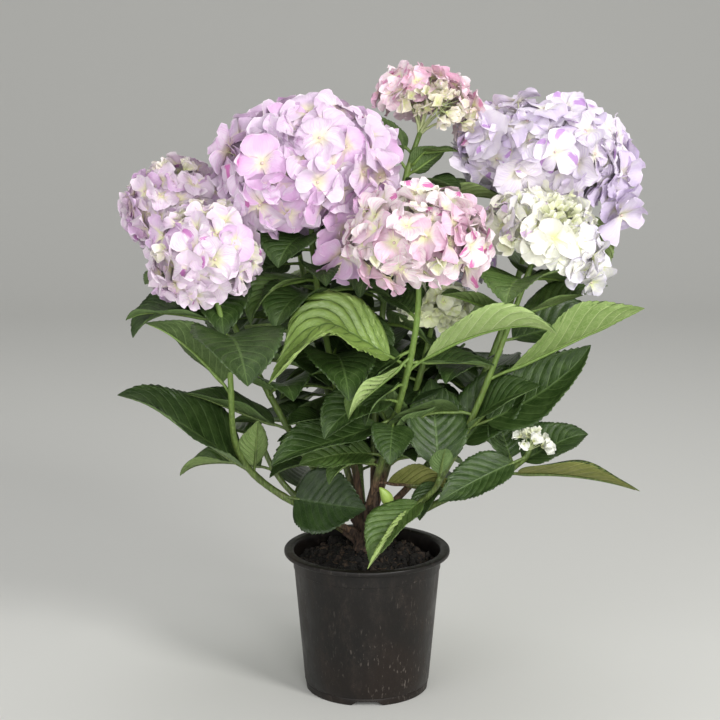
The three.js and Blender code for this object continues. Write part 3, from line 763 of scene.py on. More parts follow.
def curve_through(corners, shares):
    """Points of the Bezier curve with these corners."""
    corners = np.array(corners)
    points = np.zeros((len(shares), 3))
    degree = len(corners) - 1
    for index, corner in enumerate(corners):
        weight = math.comb(degree, index) * shares**index * (1 - shares) ** (degree - index)
        points += weight[:, None] * corner
    return points


def colour(code):
    """A colour code such as #rrggbb as linear red, green, blue and alpha."""
    parts = [int(code[place:place + 2], 16) / 255 for place in (1, 3, 5)]
    linear = [part / 12.92 if part <= 0.04045 else ((part + 0.055) / 1.055) ** 2.4 for part in parts]
    return (*linear, 1)


class Look:
    """A material with its nodes, built up one node at a time."""

    def __init__(self, name, roughness):
        self.material = bpy.data.materials.new(name)
        self.material.use_nodes = True
        self.tree = self.material.node_tree
        self.shader = self.tree.nodes["Principled BSDF"]
        self.shader.inputs["Roughness"].default_value = roughness

    def node(self, kind, inputs=None, output=0, **settings):
        made = self.tree.nodes.new(kind)
        for key, value in settings.items():
            setattr(made, key, value)
        for key, value in (inputs or {}).items():
            self.put(made.inputs[key], value)
        return made.outputs[output]

    def put(self, socket, value):
        if isinstance(value, bpy.types.NodeSocket):
            self.tree.links.new(value, socket)
        else:
            socket.default_value = value

    def math(self, operation, *values):
        made = self.tree.nodes.new("ShaderNodeMath")
        made.operation = operation
        for socket, value in zip(made.inputs, values):
            self.put(socket, value)
        return made.outputs[0]

    def step(self, value, low, high, first=0.0, last=1.0):
        """A smooth step of a value, from first at low to last at high."""
        return self.node(
            "ShaderNodeMapRange",
            {"Value": value, "From Min": low, "From Max": high, "To Min": first, "To Max": last},
            interpolation_type="SMOOTHSTEP",
        )

    def mix(self, share, one, other):
        """One colour, with a share of another over it."""
        return self.node("ShaderNodeMix", {0: share, 6: one, 7: other}, output=2, data_type="RGBA")

    def times(self, one, other):
        return self.math("MULTIPLY", one, other)

    def plus(self, one, other):
        return self.math("ADD", one, other)

    def minus(self, one, other):
        return self.math("SUBTRACT", one, other)

    def absolute(self, value):
        return self.math("ABSOLUTE", value)

    def noise(self, where, scale, detail, roughness=0.5):
        inputs = {"Vector": where, "Scale": scale, "Detail": detail, "Roughness": roughness}
        return self.node("ShaderNodeTexNoise", inputs)

    def object_place(self, stretch=(1, 1, 1)):
        """The place on the object in metres, stretched along each axis."""
        spot = self.node("ShaderNodeTexCoord", output=3)
        return self.node("ShaderNodeVectorMath", {0: spot, 1: stretch}, operation="MULTIPLY")

    def map_place(self):
        """Across (-1 to 1) and along (0 to 1) on a leaf or sepal, from the cell it is mapped to."""
        spot = self.split(self.node("ShaderNodeUVMap", uv_map="OFBake"))
        across = self.math("FRACT", self.times(spot[0], MAP_COLUMNS))
        along = self.math("FRACT", self.times(spot[1], MAP_ROWS))
        scale = 1 / (1 - 2 * MAP_EDGE)
        across = self.times(self.minus(across, 0.5), 2 * scale)
        along = self.times(self.minus(along, MAP_EDGE), scale)
        return across, along

    def split(self, vector):
        """The three parts of a vector."""
        made = self.tree.nodes.new("ShaderNodeSeparateXYZ")
        self.put(made.inputs[0], vector)
        return made.outputs

    def vector(self, *values):
        made = self.tree.nodes.new("ShaderNodeCombineXYZ")
        for socket, value in zip(made.inputs, values):
            self.put(socket, value)
        return made.outputs[0]

    def bump(self, height, strength, distance_mm):
        made = self.node(
            "ShaderNodeBump", {"Height": height, "Strength": strength, "Distance": distance_mm * MM}
        )
        self.put(self.shader.inputs["Normal"], made)

    def base(self, value):
        self.put(self.shader.inputs["Base Color"], value)
        return self.material


def cell_spots(across, along, cell):
    """Map spots of across (-1 to 1) and along (0 to 1) in a cell of the map."""
    inner = 1 - 2 * MAP_EDGE
    column = np.asarray(cell) % MAP_COLUMNS
    row = np.asarray(cell) // MAP_COLUMNS
    return np.stack((
        (column + MAP_EDGE + inner * (0.5 + 0.5 * across)) / MAP_COLUMNS,
        (row + MAP_EDGE + inner * along) / MAP_ROWS,
    ), -1)


def pot_look():
    """Black plastic with dusty grime and pale upright scratches, which grow stronger towards the right
    side, where the key light falls: painted light over the real scratches.
    """
    look = Look("pot_plastic", 0.5)
    look.put(look.shader.inputs["Specular IOR Level"], 0.35)
    spot = look.object_place()
    dust = look.noise(look.object_place((1, 1, 0.45)), 60, 8.0, 0.72)
    fine = look.noise(spot, 1100, 3.0)
    scratch = look.noise(look.object_place((1, 1, 0.3)), 380, 3.0, 0.6)
    patch = look.noise(spot, 22, 3.0)
    brown = look.noise(spot, 9, 2.0)
    # The pale scratch marks grow stronger towards the pot's right side, the side the key light falls
    # on: painted light over the real scratches.
    painted_light_to_right = look.step(look.split(spot)[0], -0.09, 0.08, 0.35, 1.0)
    wear_and_light = look.times(look.step(patch, 0.36, 0.66), painted_light_to_right)
    shade = look.mix(look.step(brown, 0.4, 0.65), colour("#110e0c"), colour("#1d1510"))
    grime = look.times(look.step(dust, 0.48, 0.7), look.step(fine, 0.35, 0.6))
    shade = look.mix(look.times(grime, 0.2), shade, colour("#5a4d43"))
    marks = look.times(look.step(scratch, 0.6, 0.68), wear_and_light)
    shade = look.mix(look.times(marks, 0.45), shade, colour("#857c74"))
    look.put(look.shader.inputs["Roughness"], look.step(dust, 0.3, 0.75, 0.32, 0.56))
    look.bump(look.plus(look.times(fine, 0.25), scratch), 0.3, 0.3)
    return look.base(shade)


def soil_look(name, dark, pale):
    """Matt, finely lumpy soil."""
    look = Look(name, 0.95)
    spot = look.object_place()
    lumps = look.noise(spot, 220, 5.0, 0.7)
    look.bump(look.noise(spot, 700, 4.0), 0.8, 0.6)
    return look.base(look.mix(look.step(lumps, 0.38, 0.68), colour(dark), colour(pale)))


def bark_look():
    """Brown bark in upright strips, with paler patches."""
    look = Look("bark", 0.85)
    strips = look.noise(look.object_place((1, 1, 0.18)), 320, 6.0, 0.7)
    patch = look.noise(look.object_place(), 60, 3.0)
    shade = look.mix(look.step(strips, 0.35, 0.65), colour("#221913"), colour("#5a473a"))
    shade = look.mix(look.step(patch, 0.5, 0.7, 0.0, 0.6), shade, colour("#77624e"))
    look.bump(strips, 0.9, 1.2)
    return look.base(shade)


def stem_look(name, low, high, pale):
    """A stem, darker low down and streaked, specked with brown and woody near the stool."""
    look = Look(name, 0.45)
    spot = look.object_place()
    height = look.split(spot)[2]
    streaks = look.noise(look.object_place((1, 1, 0.1)), 500, 4.0)
    patch = look.noise(spot, 70, 2.0)
    specks = look.noise(look.object_place((1, 1, 0.4)), 900, 1.0)
    shade = look.mix(look.step(height, 0.2, 0.48), colour(low), colour(high))
    shade = look.mix(look.step(streaks, 0.4, 0.7, 0.0, 0.5), shade, colour(pale))
    shade = look.mix(look.step(patch, 0.55, 0.75, 0.0, 0.35), shade, colour("#5d5a2c"))
    shade = look.mix(look.step(specks, 0.68, 0.76, 0.0, 0.6), shade, colour("#6d4a3a"))
    stool = (0.01, STOOL_Y * MM, 0)
    from_axis = look.node("ShaderNodeVectorMath", {0: spot, 1: stool}, operation="SUBTRACT")
    level = look.node("ShaderNodeVectorMath", {0: from_axis, 1: (1, 1, 0)}, operation="MULTIPLY")
    away = look.node("ShaderNodeVectorMath", {0: level}, output=1, operation="LENGTH")
    ragged = look.plus(height, look.times(patch, 0.03))
    woody = look.times(look.step(ragged, 0.285, 0.255), look.step(away, 0.055, 0.035))
    brown = look.mix(look.step(streaks, 0.35, 0.65), colour("#33261b"), colour("#6d5540"))
    look.put(look.shader.inputs["Roughness"], look.plus(0.45, look.times(woody, 0.4)))
    look.bump(streaks, 0.5, 0.5)
    return look.base(look.mix(woody, shade, brown))


def leaf_look(name, side, face, vein, strength):
    """A leaf's face: its veins, the fine net between them and soft blotches."""
    roughness, specular = LEAF_GLOSS[side]
    look = Look(name, roughness)
    look.put(look.shader.inputs["Specular IOR Level"], specular)
    across, along = look.map_place()
    off = look.absolute(across)

    # Side veins, by the lag that the blade's mesh follows too, and the midrib
    lag = look.plus(look.times(off, VEIN_LAG[0]), look.times(look.times(off, off), VEIN_LAG[1]))
    phase = look.math("DIVIDE", look.minus(along, lag), VEIN_SPACING)
    near = look.minus(0.5, look.absolute(look.minus(look.math("FRACT", phase), 0.5)))
    side_vein = look.step(near, look.minus(0.085, look.times(off, 0.05)), 0.015)
    room = look.math("MAXIMUM", look.times(along, look.minus(1.02, along)), 0.01)
    centre = look.step(look.times(off, look.math("SQRT", room)), 0.026, 0.008)
    veins = look.math("MAXIMUM", side_vein, centre)

    # The net between the veins, and blotches
    where = look.vector(look.times(across, 7.0), look.times(phase, 2.2), 0.0)
    net = look.node("ShaderNodeTexVoronoi", {"Vector": where, "Scale": 1.6}, feature="DISTANCE_TO_EDGE")
    net_line = look.step(net, 0.09, 0.01)
    mottle = look.noise(look.vector(across, look.times(along, 3.0), 0.0), 2.6, 3.0)
    shade = look.mix(look.step(mottle, 0.35, 0.7, 0.0, 0.25), colour(face), colour(vein))
    net_shown = 0.16 if side == "upper" else 0.3
    shade = look.mix(look.times(net_line, net_shown), shade, colour(vein))
    # Veins take their own colour; on the bright tint it is darker than the face and paints the shade in
    # the sunken vein grooves.
    shade = look.mix(look.times(veins, strength), shade, colour(vein))

    # Veins are sunk on the upper face and stand out on the lower one.
    fine = look.noise(look.vector(across, look.times(along, 2.0), 0.0), 60, 2.0)
    lift = look.plus(veins, look.times(net_line, 0.35))
    lift = look.times(lift, -1.0 if side == "upper" else 1.0)
    look.bump(look.plus(lift, look.times(fine, 0.25)), 0.55, 0.8)
    return look.base(shade)


def sepal_look(name, edge, inner, heart, vein, blotch, shift):
    """A sepal: its heart, its fine fan of veins, its pale edge and, on some, a blotch."""
    look = Look(name, 0.55)
    across, along = look.map_place()
    off = look.absolute(across)
    where = look.vector(look.times(across, 9.0), look.times(along, 0.9), shift)
    fan = look.noise(where, 2.2, 2.0)
    soft = look.noise(look.vector(across, along, shift), 1.6, 2.0)
    rim = look.math("MAXIMUM", look.math("POWER", off, 3.0), look.math("POWER", along, 3.0))
    share = look.plus(look.times(rim, 0.7), look.step(soft, 0.4, 0.75, 0.0, 0.5))
    shade = look.mix(look.math("MINIMUM", share, 1.0), colour(inner), colour(edge))
    shade = look.mix(look.step(fan, 0.5, 0.6, 0.0, 0.55), shade, colour(vein))
    from_heart = look.plus(along, look.times(soft, 0.3))
    shade = look.mix(look.step(from_heart, 0.66, 0.2), shade, colour(heart))
    if blotch:
        aside = look.absolute(look.minus(across, 0.35))
        wedge = look.minus(look.times(along, 0.42), aside)
        ragged = look.plus(wedge, look.times(look.minus(fan, 0.5), 0.5))
        outward = look.step(look.plus(along, look.times(fan, 0.4)), 0.6, 0.75)
        patch = look.times(look.step(ragged, 0.02, 0.09), outward)
        shade = look.mix(look.times(patch, 0.8), shade, colour(blotch))
    edge_line = look.math("MAXIMUM", look.step(off, 0.93, 0.99), look.step(along, 0.93, 0.98))
    shade = look.mix(look.times(edge_line, 0.45), shade, colour(SEPAL_RIM))
    crumple = look.noise(look.vector(across, along, shift + 9), 2.4, 2.0)
    look.bump(look.plus(fan, look.times(crumple, 1.5)), 0.5, 1.0)
    return look.base(shade)


def plain_look(name, code, pale, roughness):
    """A small part's look: two near shades in soft patches."""
    look = Look(name, roughness)
    patch = look.noise(look.object_place(), 240, 2.0)
    return look.base(look.mix(patch, colour(code), colour(pale)))


def turned(profile, sides):
    """Points and faces of a closed turned body whose profile starts and ends on the axis."""
    turn = np.arange(sides) * 2 * math.pi / sides
    rings = [
        np.stack((radius * np.cos(turn), radius * np.sin(turn), np.full(sides, height, float)), -1)
        for radius, height in profile[1:-1]
    ]
    wall = np.concatenate(rings)
    low = len(wall)
    points = np.concatenate((wall, [(0, 0, profile[0][1]), (0, 0, profile[-1][1])]))
    side = np.arange(sides)
    beside = (side + 1) % sides
    last = low - sides
    under = np.stack((np.full(sides, low), beside, side), -1)
    over = np.stack((np.full(sides, low + 1), last + side, last + beside), -1)
    return points, grid_faces(len(rings), sides, wrap=True), np.concatenate((under, over))


def arc(middle, radius, start, end, steps):
    """Points of an arc in a profile, between two angles in degrees."""
    angles = np.radians(np.linspace(start, end, steps))
    return [(middle[0] + radius * math.cos(a), middle[1] + radius * math.sin(a)) for a in angles]


def pot_profile():
    """The pot's half section, from the axis underneath round to the axis on its floor."""
    shoulder = POT_HEIGHT - SHOULDER_DROP
    under = POT_HEIGHT - RIM_DEPTH
    wall_head = NECK_RADIUS - WALL_INSET

    # Underside and foot ring
    profile = [(0, 0), (PAD_RADIUS - PAD_BEVEL, 0), (PAD_RADIUS, 0), (RECESS_INNER, RECESS_HEIGHT)]
    profile += [(RECESS_OUTER, RECESS_HEIGHT), (RECESS_OUTER + 3, 0)]
    profile += arc((FOOT_RADIUS - FOOT_ROUND, FOOT_ROUND), FOOT_ROUND, -90, 0, 4)
    profile += [(FOOT_RADIUS, FOOT_HEIGHT - 1), (FOOT_RADIUS - 0.4, FOOT_HEIGHT)]

    # Up the outside of the wall to its shoulder and neck
    profile += [(FOOT_RADIUS + 0.2, FOOT_HEIGHT + 0.8), (WALL_FOOT, FOOT_HEIGHT + 2)]
    for step in range(1, WALL_STEPS + 1):
        share = step / WALL_STEPS
        radius = WALL_FOOT + share * (wall_head - WALL_FOOT)
        profile.append((radius, FOOT_HEIGHT + 2 + share * (shoulder - FOOT_HEIGHT - 2)))
    profile += [(wall_head + SHOULDER_STEP, shoulder + 0.5), (NECK_RADIUS - 0.3, under - 4)]
    profile += [(NECK_RADIUS, under - 0.6), (NECK_RADIUS + 0.8, under + 0.3)]

    # Round the lip of the rim, and down the inside to the floor
    profile += [(NECK_RADIUS + 3, under + 0.6)]
    profile += arc((RIM_RADIUS - LIP_ROUND, under + 0.6 + LIP_ROUND), LIP_ROUND, -90, 0, 7)
    profile += arc((RIM_RADIUS - LIP_ROUND, POT_HEIGHT - LIP_ROUND), LIP_ROUND, 0, 90, 7)
    profile += arc((RIM_RADIUS - 7.5, POT_HEIGHT - MOUTH_ROUND), MOUTH_ROUND, 90, 160, 6)
    profile += [(NECK_RADIUS - WALL, under - 2), (NECK_RADIUS - WALL - 1.5, shoulder)]
    profile += [(WALL_FOOT - WALL, FLOOR_TOP), (0, FLOOR_TOP)]
    return profile


def lift_notches(points):
    """Lifts the foot ring's points into its notches."""
    radius = np.hypot(points[:, 0], points[:, 1])
    for notch in range(NOTCH_COUNT):
        turn = -math.pi / 2 + 2 * math.pi * notch / NOTCH_COUNT
        aside = points[:, 1] * math.cos(turn) - points[:, 0] * math.sin(turn)
        ahead = points[:, 0] * math.cos(turn) + points[:, 1] * math.sin(turn)
        lift = np.clip((NOTCH_WIDTH / 2 - np.abs(aside)) * NOTCH_HEIGHT / NOTCH_SLOPE, 0, NOTCH_HEIGHT)
        here = (radius > RECESS_OUTER - 1) & (ahead > 0) & (points[:, 2] < lift)
        points[here, 2] = lift[here]


def drill_drains(pot):
    """Drills the drain holes through the pot's floor."""
    drills = Pile()
    for hole in range(DRAIN_COUNT):
        middle = polar(360 * (hole + 0.5) / DRAIN_COUNT, DRAIN_RING, 0)
        path = middle + np.outer((-2.0, 2 * FLOOR_TOP), UP)
        add_tube(drills, path, DRAIN_RADIUS, DRAIN_SIDES, np.array((1.0, 0, 0)))
    cutter = drills.piece("drills", [], "pot_plastic")
    cut = pot.modifiers.new("drain_holes", "BOOLEAN")
    cut.operation = "DIFFERENCE"
    cut.solver = "EXACT"
    cut.object = cutter
    pot.data = applied(pot)
    pot.modifiers.clear()
    bpy.data.objects.remove(cutter)


def make_pot():
    """The turned pot, with notches in its foot ring and holes drilled through its floor."""
    points, quads, fans = turned(pot_profile(), POT_SIDES)
    lift_notches(points)
    pile = Pile()
    pile.add(points, (quads, 0, None), (fans, 0, None))
    pot = pile.piece("pot_shell", [pot_look()], "pot_plastic", ["pot"])
    drill_drains(pot)
    pot.data.shade_smooth()
    pot.data.set_sharp_from_angle(angle=math.radians(SHARP_EDGE))


def applied(piece):
    """A piece's mesh with its modifiers applied."""
    graph = bpy.context.evaluated_depsgraph_get()
    return bpy.data.meshes.new_from_object(piece.evaluated_get(graph))


def wall_at(height):
    """Radius of the soil at a height, where it meets the pot's wall."""
    slope = (NECK_RADIUS - WALL_FOOT) / (POT_HEIGHT - RIM_DEPTH - FLOOR_TOP)
    return WALL_FOOT - WALL + slope * (height - FLOOR_TOP) - SOIL_GAP


def soil_height(x, y):
    """Height of the crumbly top of the soil."""
    away = np.hypot(x, y - STOOL_Y)
    fall = np.clip((away - SOIL_PATCH) / (wall_at(SOIL_EDGE) - SOIL_PATCH), 0, 1)
    flat = np.stack((x, y, np.zeros_like(x)), -1)
    lumps = sum(height * noise(flat, size, seed) for height, size, seed in SOIL_LUMPS)
    lumps = (lumps - SOIL_LUMPS_MIDDLE) * smooth(-0.2, 0.3, fall)
    return SOIL_TOP - SOIL_SINK - (SOIL_TOP - SOIL_EDGE) * fall + lumps


def make_soil():
    """The bed of soil, and the crumbs and fibres that lie on it."""
    make_soil_bed()
    rng = np.random.default_rng(SOIL_SEED)
    crumbs = Pile()
    add_crumbs(crumbs, rng)
    add_fibres(crumbs, rng)
    looks = [
        soil_look("crumb_dark", "#0a0806", "#1f1913"),
        soil_look("crumb_brown", "#201913", "#43362a"),
        plain_look("fibre", "#3b2d20", "#5e4b36", 0.9),
    ]
    crumbs.piece("soil_crumbs", looks, "potting_soil")


def make_soil_bed():
    """The closed bed of soil, with its lumpy top."""
    edge = wall_at(SOIL_EDGE) - SOIL_SHRUNK
    turn = np.arange(SOIL_SIDES) * 2 * math.pi / SOIL_SIDES
    radius = (edge * np.linspace(0, 1, SOIL_RINGS + 1)[:0:-1])[:, None]
    x = radius * np.cos(turn)
    y = radius * np.sin(turn)
    top = np.stack((x, y, np.minimum(soil_height(x, y), SOIL_TOP)), -1).reshape(-1, 3)
    base = FLOOR_TOP + SOIL_GAP
    foot = wall_at(base)
    foot = np.stack((foot * np.cos(turn), foot * np.sin(turn), np.full(SOIL_SIDES, base)), -1)
    points = np.concatenate((foot, top, [(0, 0, base), (0, 0, SOIL_TOP - 2)]))
    side = np.arange(SOIL_SIDES)
    beside = (side + 1) % SOIL_SIDES
    low = len(points) - 2
    last = low - SOIL_SIDES
    fans = np.concatenate((
        np.stack((np.full(SOIL_SIDES, low), beside, side), -1),
        np.stack((np.full(SOIL_SIDES, low + 1), last + side, last + beside), -1),
    ))
    pile = Pile()
    pile.add(points, (grid_faces(SOIL_RINGS + 1, SOIL_SIDES, wrap=True), 0, None), (fans, 0, None))
    pile.piece("soil_bed", [soil_look("peat", "#080605", "#211a14")], "potting_soil", ["soil"])


def soil_spot(rng, margin):
    """A random place on the soil, away from its edge by the margin."""
    reach = (wall_at(SOIL_EDGE) - SOIL_SHRUNK - margin) * math.sqrt(rng.random())
    angle = rng.random() * 2 * math.pi
    return reach * math.cos(angle), reach * math.sin(angle)


def add_crumbs(pile, rng):
    """Uneven beads of soil, most of them small."""
    corners, walls, caps = turned(arc((0, 0), 1, -90, 90, 5), 7)
    for _ in range(SOIL_CRUMBS):
        x, y = soil_spot(rng, CRUMB_EDGE)
        size = within(CRUMB_SIZE, rng.random() ** 4)
        shape = corners * (1 + CRUMB_ROUGH * rng.standard_normal((len(corners), 1)))
        shape = shape * within(CRUMB_STRETCH, rng.random(3)) * size
        ground = float(soil_height(np.array(x), np.array(y)))
        at = np.array((x, y, ground + CRUMB_RAISED * size))
        brown = int(rng.random() < BROWN_CRUMBS)
        pile.add(shape + at, (walls, brown, None), (caps, brown, None))


def add_fibres(pile, rng):
    """Short bent threads that lie on the soil."""
    shares = np.linspace(-0.5, 0.5, 6)
    for _ in range(SOIL_FIBRES):
        x, y = soil_spot(rng, FIBRE_EDGE)
        heading = rng.random() * 2 * math.pi
        length = within(FIBRE_LENGTH, rng.random())
        bend = heading + shares * FIBRE_BEND * rng.standard_normal()
        x = x + length * shares * np.cos(bend)
        y = y + length * shares * np.sin(bend)
        path = np.stack((x, y, soil_height(x, y) + within(FIBRE_RAISED, rng.random())), -1)
        add_tube(pile, path, within(FIBRE_RADIUS, rng.random()), FIBRE_SIDES, UP, 2)


def shoot_curve(shoot, shares):
    """Points of a shoot at shares of the way from the stool to the neck of its bloom."""
    azimuth, lean, stride = shoot["way"]
    neck_lean, neck_azimuth, neck_stride = shoot["bloom"]["neck"]
    axis = leaning(neck_lean, neck_azimuth)
    start = polar(*shoot["start"]) + (0, STOOL_Y, 0)
    end = polar(*shoot["bloom"]["middle"]) - NECK_DROP * shoot["bloom"]["high"] * axis
    corners = (start, start + stride * leaning(lean, azimuth), end - neck_stride * axis, end)
    return curve_through(corners, np.asarray(shares, float))


def make_stool():
    """The woody stool: a stump, and a prong for each shoot."""
    stump = [(0, 0), (STOOL_RADIUS, 0), (STOOL_RADIUS * 0.8, STOOL_HEIGHT * 0.5)]
    stump += [(STOOL_RADIUS * 0.5, STOOL_HEIGHT), (0, STOOL_HEIGHT)]
    points, quads, fans = turned(stump, STOOL_SIDES)
    pile = Pile()
    pile.add(points + (0, STOOL_Y, STOOL_FOOT), (quads, 0, None), (fans, 0, None))
    for shoot in SHOOTS.values():
        end, ahead = shoot_curve(shoot, (0, 0.01))
        tangent = unit(ahead - end)
        foot = end * PRONG_FOOT_SHARE + np.array((0, STOOL_Y, 0)) * (1 - PRONG_FOOT_SHARE)
        foot[2] = STOOL_FOOT + PRONG_FOOT_RADIUS
        corners = (foot, end - PRONG_BEND * tangent, end)
        path = curve_through(corners, np.linspace(0, 1, PRONG_STEPS))
        radii = np.linspace(PRONG_FOOT_RADIUS, PRONG_TIP_RADIUS, PRONG_STEPS)
        hint = polar(shoot["way"][0] + 90, 1, 0)
        add_tube(pile, path, radii * PRONG_SLIMMED, PRONG_SIDES, hint)
    stool = pile.piece("woody_stool", [], "bark", ["woody_base"])
    stool.data = barked(stool)


def barked(stool):
    """The stool's parts fused into one mesh, with the relief of its bark."""
    remesh = stool.modifiers.new("fuse", "REMESH")
    remesh.mode = "VOXEL"
    remesh.voxel_size = BARK_VOXEL * MM
    soften = stool.modifiers.new("soften", "SMOOTH")
    soften.iterations = 3
    mesh = applied(stool)
    stool.modifiers.clear()
    count = len(mesh.vertices)
    spots = np.empty(count * 3, np.float32)
    mesh.vertices.foreach_get("co", spots)
    normals = np.empty(count * 3, np.float32)
    mesh.vertex_normals.foreach_get("vector", normals)
    spots = spots.reshape(-1, 3) / MM
    upright = spots * (1, 1, BARK_STRETCH)
    relief = noise(upright, 2.2, 4) + 0.7 * noise(upright, 1.1, 5) + 0.8 * noise(spots, 7, 6)
    spots += normals.reshape(-1, 3) * ((relief - BARK_RELIEF_MIDDLE) * BARK_RELIEF)[:, None]
    spots[:, 2] = np.maximum(spots[:, 2], STOOL_FOOT - 1)
    mesh.vertices.foreach_set("co", (spots * MM).astype(np.float32).ravel())
    mesh.materials.append(bark_look())
    mesh.update()
    mesh.shade_smooth()
    return mesh


def leaf_place(root, azimuth, length, rise, droop, fold, curl, distance):
    """Where a leaf's midrib is at distances from its root, and its directions there.

    The droop is spread evenly along the leaf, or lies about the fold where it has one,
    and the tip curls by some more degrees.
    """
    steps = np.linspace(0, 1, LEAF_STEPS)
    bent = smooth(fold - FOLD_REACH, fold + FOLD_REACH, steps) if fold else steps
    slopes = np.radians(rise - droop * bent - curl * smooth(0.7, 1, steps))
    out = np.cumsum(np.cos(slopes)) * length / LEAF_STEPS
    up = np.cumsum(np.sin(slopes)) * length / LEAF_STEPS
    share = distance / length
    slope = np.interp(share, steps, slopes)
    heading = polar(azimuth, 1, 0)
    point = root + np.interp(share, steps, out)[..., None] * heading
    point = point + np.interp(share, steps, up)[..., None] * UP
    tangent = np.cos(slope)[..., None] * heading + np.sin(slope)[..., None] * UP
    side = np.broadcast_to(np.cross(UP, heading), tangent.shape)
    return point, tangent, side, np.cross(tangent, side)


def rolled(tangent, side, normal, roll):
    """A leaf's side and normal, turned about its midrib by roll in degrees."""
    turn = np.radians(roll)[..., None]
    aside = side * np.cos(turn) + normal * np.sin(turn)
    return aside, np.cross(tangent, aside)


def vein_lag(off):
    """How far a side vein has risen along the blade at a share of the way to the margin."""
    return VEIN_LAG[0] * off + VEIN_LAG[1] * off**2


def vein_rows(lines, lag):
    """Rows of a blade's mesh that follow its side veins and close up at its root and tip."""
    spine = np.linspace(0, 1, 400)
    rise = np.minimum(spine / 0.25, 1) * np.minimum((1 - spine) / 0.5, 1)
    even = np.linspace(0, 1, lines + 1)
    spread = spine + 0.5 * lag.max() * rise
    spine, rise = np.interp(even, spread, spine), np.interp(even, spread, rise)
    return spine[:, None] + lag * rise[:, None]


def twist_at(share, turns):
    """A leaf's roll at a share of its blade.

    The turns are its roll at the root, what it gains past a fold and what it gains evenly.
    """
    root, past_fold, even = turns
    return root + past_fold * smooth(0.3, 0.8, share) + even * share


def blade_outline(share, base):
    """Half the width of a blade at a share of its length, as a share of the most."""
    widest = base / (base + TIP_POWER)
    return (share / widest) ** base * (np.maximum(1 - share, 0) / (1 - widest)) ** TIP_POWER


def leaf_rows(leaves, seed):
    """The leaves of a shoot, each with its opposite where it has one."""
    rows = []
    for index, (spot, azimuth, length, rise, droop, roll, mate, broad, tint) in enumerate(leaves):
        rows.append((spot, azimuth, length, rise, droop, roll, broad, tint))
        if mate > 0:
            swing = (chance(seed, index) - 0.5) * 2 * MATE_SWING
            opposite = azimuth + 180 + swing
            mate_rise = rise + swing / 2
            mate_length = length * mate
            rows.append((spot + PAIR_GAP, opposite, mate_length, mate_rise, droop, -roll, broad, tint))
    return rows


def blade_form(share, lag, across, widest, blade, tint, seed):
    """How far each point of a blade's mesh lies to the side of its midrib, and above it."""
    margin = share[:, :1]
    off = np.abs(across)
    least = LEAST_HALF + 1.2 * (1 - smooth(0, 0.1, share))
    half = np.maximum(widest * blade_outline(share, TINTS[tint]["base"]), least)

    # Teeth along the margin, apart from its root and tip
    tooth = margin / TOOTH_SPACING + chance(seed, TOOTH_DRAW)
    notch = 1 - tooth + np.floor(tooth)
    toothed = smooth(0.1, 0.2, margin) * (1 - smooth(0.93, 0.99, margin))
    depth = TOOTH_DEPTH * within(TEETH_DEPTHS, chance(seed, np.floor(tooth)))
    trim = np.minimum(depth * blade / TEETH_FULL_AT, half * 0.3) * notch * toothed
    x = across * (half - trim * off**5)

    # The fold along the midrib, the quilting between the side veins and a slow wave
    quilt = np.sqrt(np.sin(math.pi * (share - lag) / VEIN_SPACING) ** 2 + QUILT_VALLEY)
    lift = QUILT_HEIGHT * TINTS[tint]["quilt"] * (half / widest) ** 0.6 * (1 - off**6)
    rib = np.exp(-((x / RIB_WIDTH) ** 2))
    phases = 2 * math.pi * chance(seed, WAVE_DRAWS)
    wave = np.sin(2 * math.pi * BLADE_WAVES * share + np.where(across > 0, *phases))
    z = half * math.tan(math.radians(BLADE_FOLD)) * off**1.35
    z = z + lift * (quilt - QUILT_MIDDLE) * (1 - rib) + BLADE_WAVE * half * off**2 * wave
    return x, z


def add_leaf(leaves, stalks, root, row, seed, grid):
    """One leaf: a toothed, quilted blade, with its petiole and midrib among the stalks."""
    spot, azimuth, length, rise, droop, roll, broad, tint = row
    petiole = WINGED_SHARE * (PETIOLE_SHARE * length + PETIOLE_EXTRA)
    blade = length - petiole
    widest = BLADE_WIDTH * broad * blade / 2
    lines, columns = grid
    across = np.linspace(-1, 1, columns + 1)[None, :]
    lag = vein_lag(np.abs(across))
    share = vein_rows(lines, lag)
    x, z = blade_form(share, lag, across, widest, blade, tint, seed)
    fold = FOLDED_AT if tint == "bright" and droop > 80 else 0
    if fold:
        turns = (roll, -roll * FOLD_UNTWIST, 0)
    else:
        turns = (roll, 0, LEAF_TWIST * (chance(seed, TWIST_DRAW) - 0.5))
    curl = TIP_CURL * (chance(seed, CURL_DRAW) - 0.35)
    bending = (root, azimuth, length, rise, droop, fold, curl)
    point, tangent, side, normal = leaf_place(*bending, petiole + blade * share)
    aside, above = rolled(tangent, side, normal, twist_at(share, turns))
    top = point + aside * x[..., None] + above * z[..., None]
    under = top - above * BLADE_THICKNESS
    count = top.shape[0] * top.shape[1]
    faces = grid_faces(lines + 1, columns + 1)[:, [0, 3, 2, 1]]
    look = 2 * list(TINTS).index(tint)
    near, far = (
        cell_spots(across + 0 * share, share, cell).reshape(-1, 2) for cell in TINTS[tint]["cells"]
    )
    index = np.arange(count).reshape(-1, columns + 1)
    rim = np.concatenate((index[:-1, 0], index[-1, :-1], index[:0:-1, -1], index[0, :0:-1]))
    after = np.roll(rim, -1)
    edge = np.stack((rim + count, after + count, after, rim), -1)
    leaves.add(
        np.concatenate((top.reshape(-1, 3), under.reshape(-1, 3))),
        (faces, look, near[faces]),
        (faces[:, ::-1] + count, look + 1, far[faces[:, ::-1]]),
        (edge, look, near[edge % count]),
    )
    add_rib(stalks, bending, turns, petiole, blade)


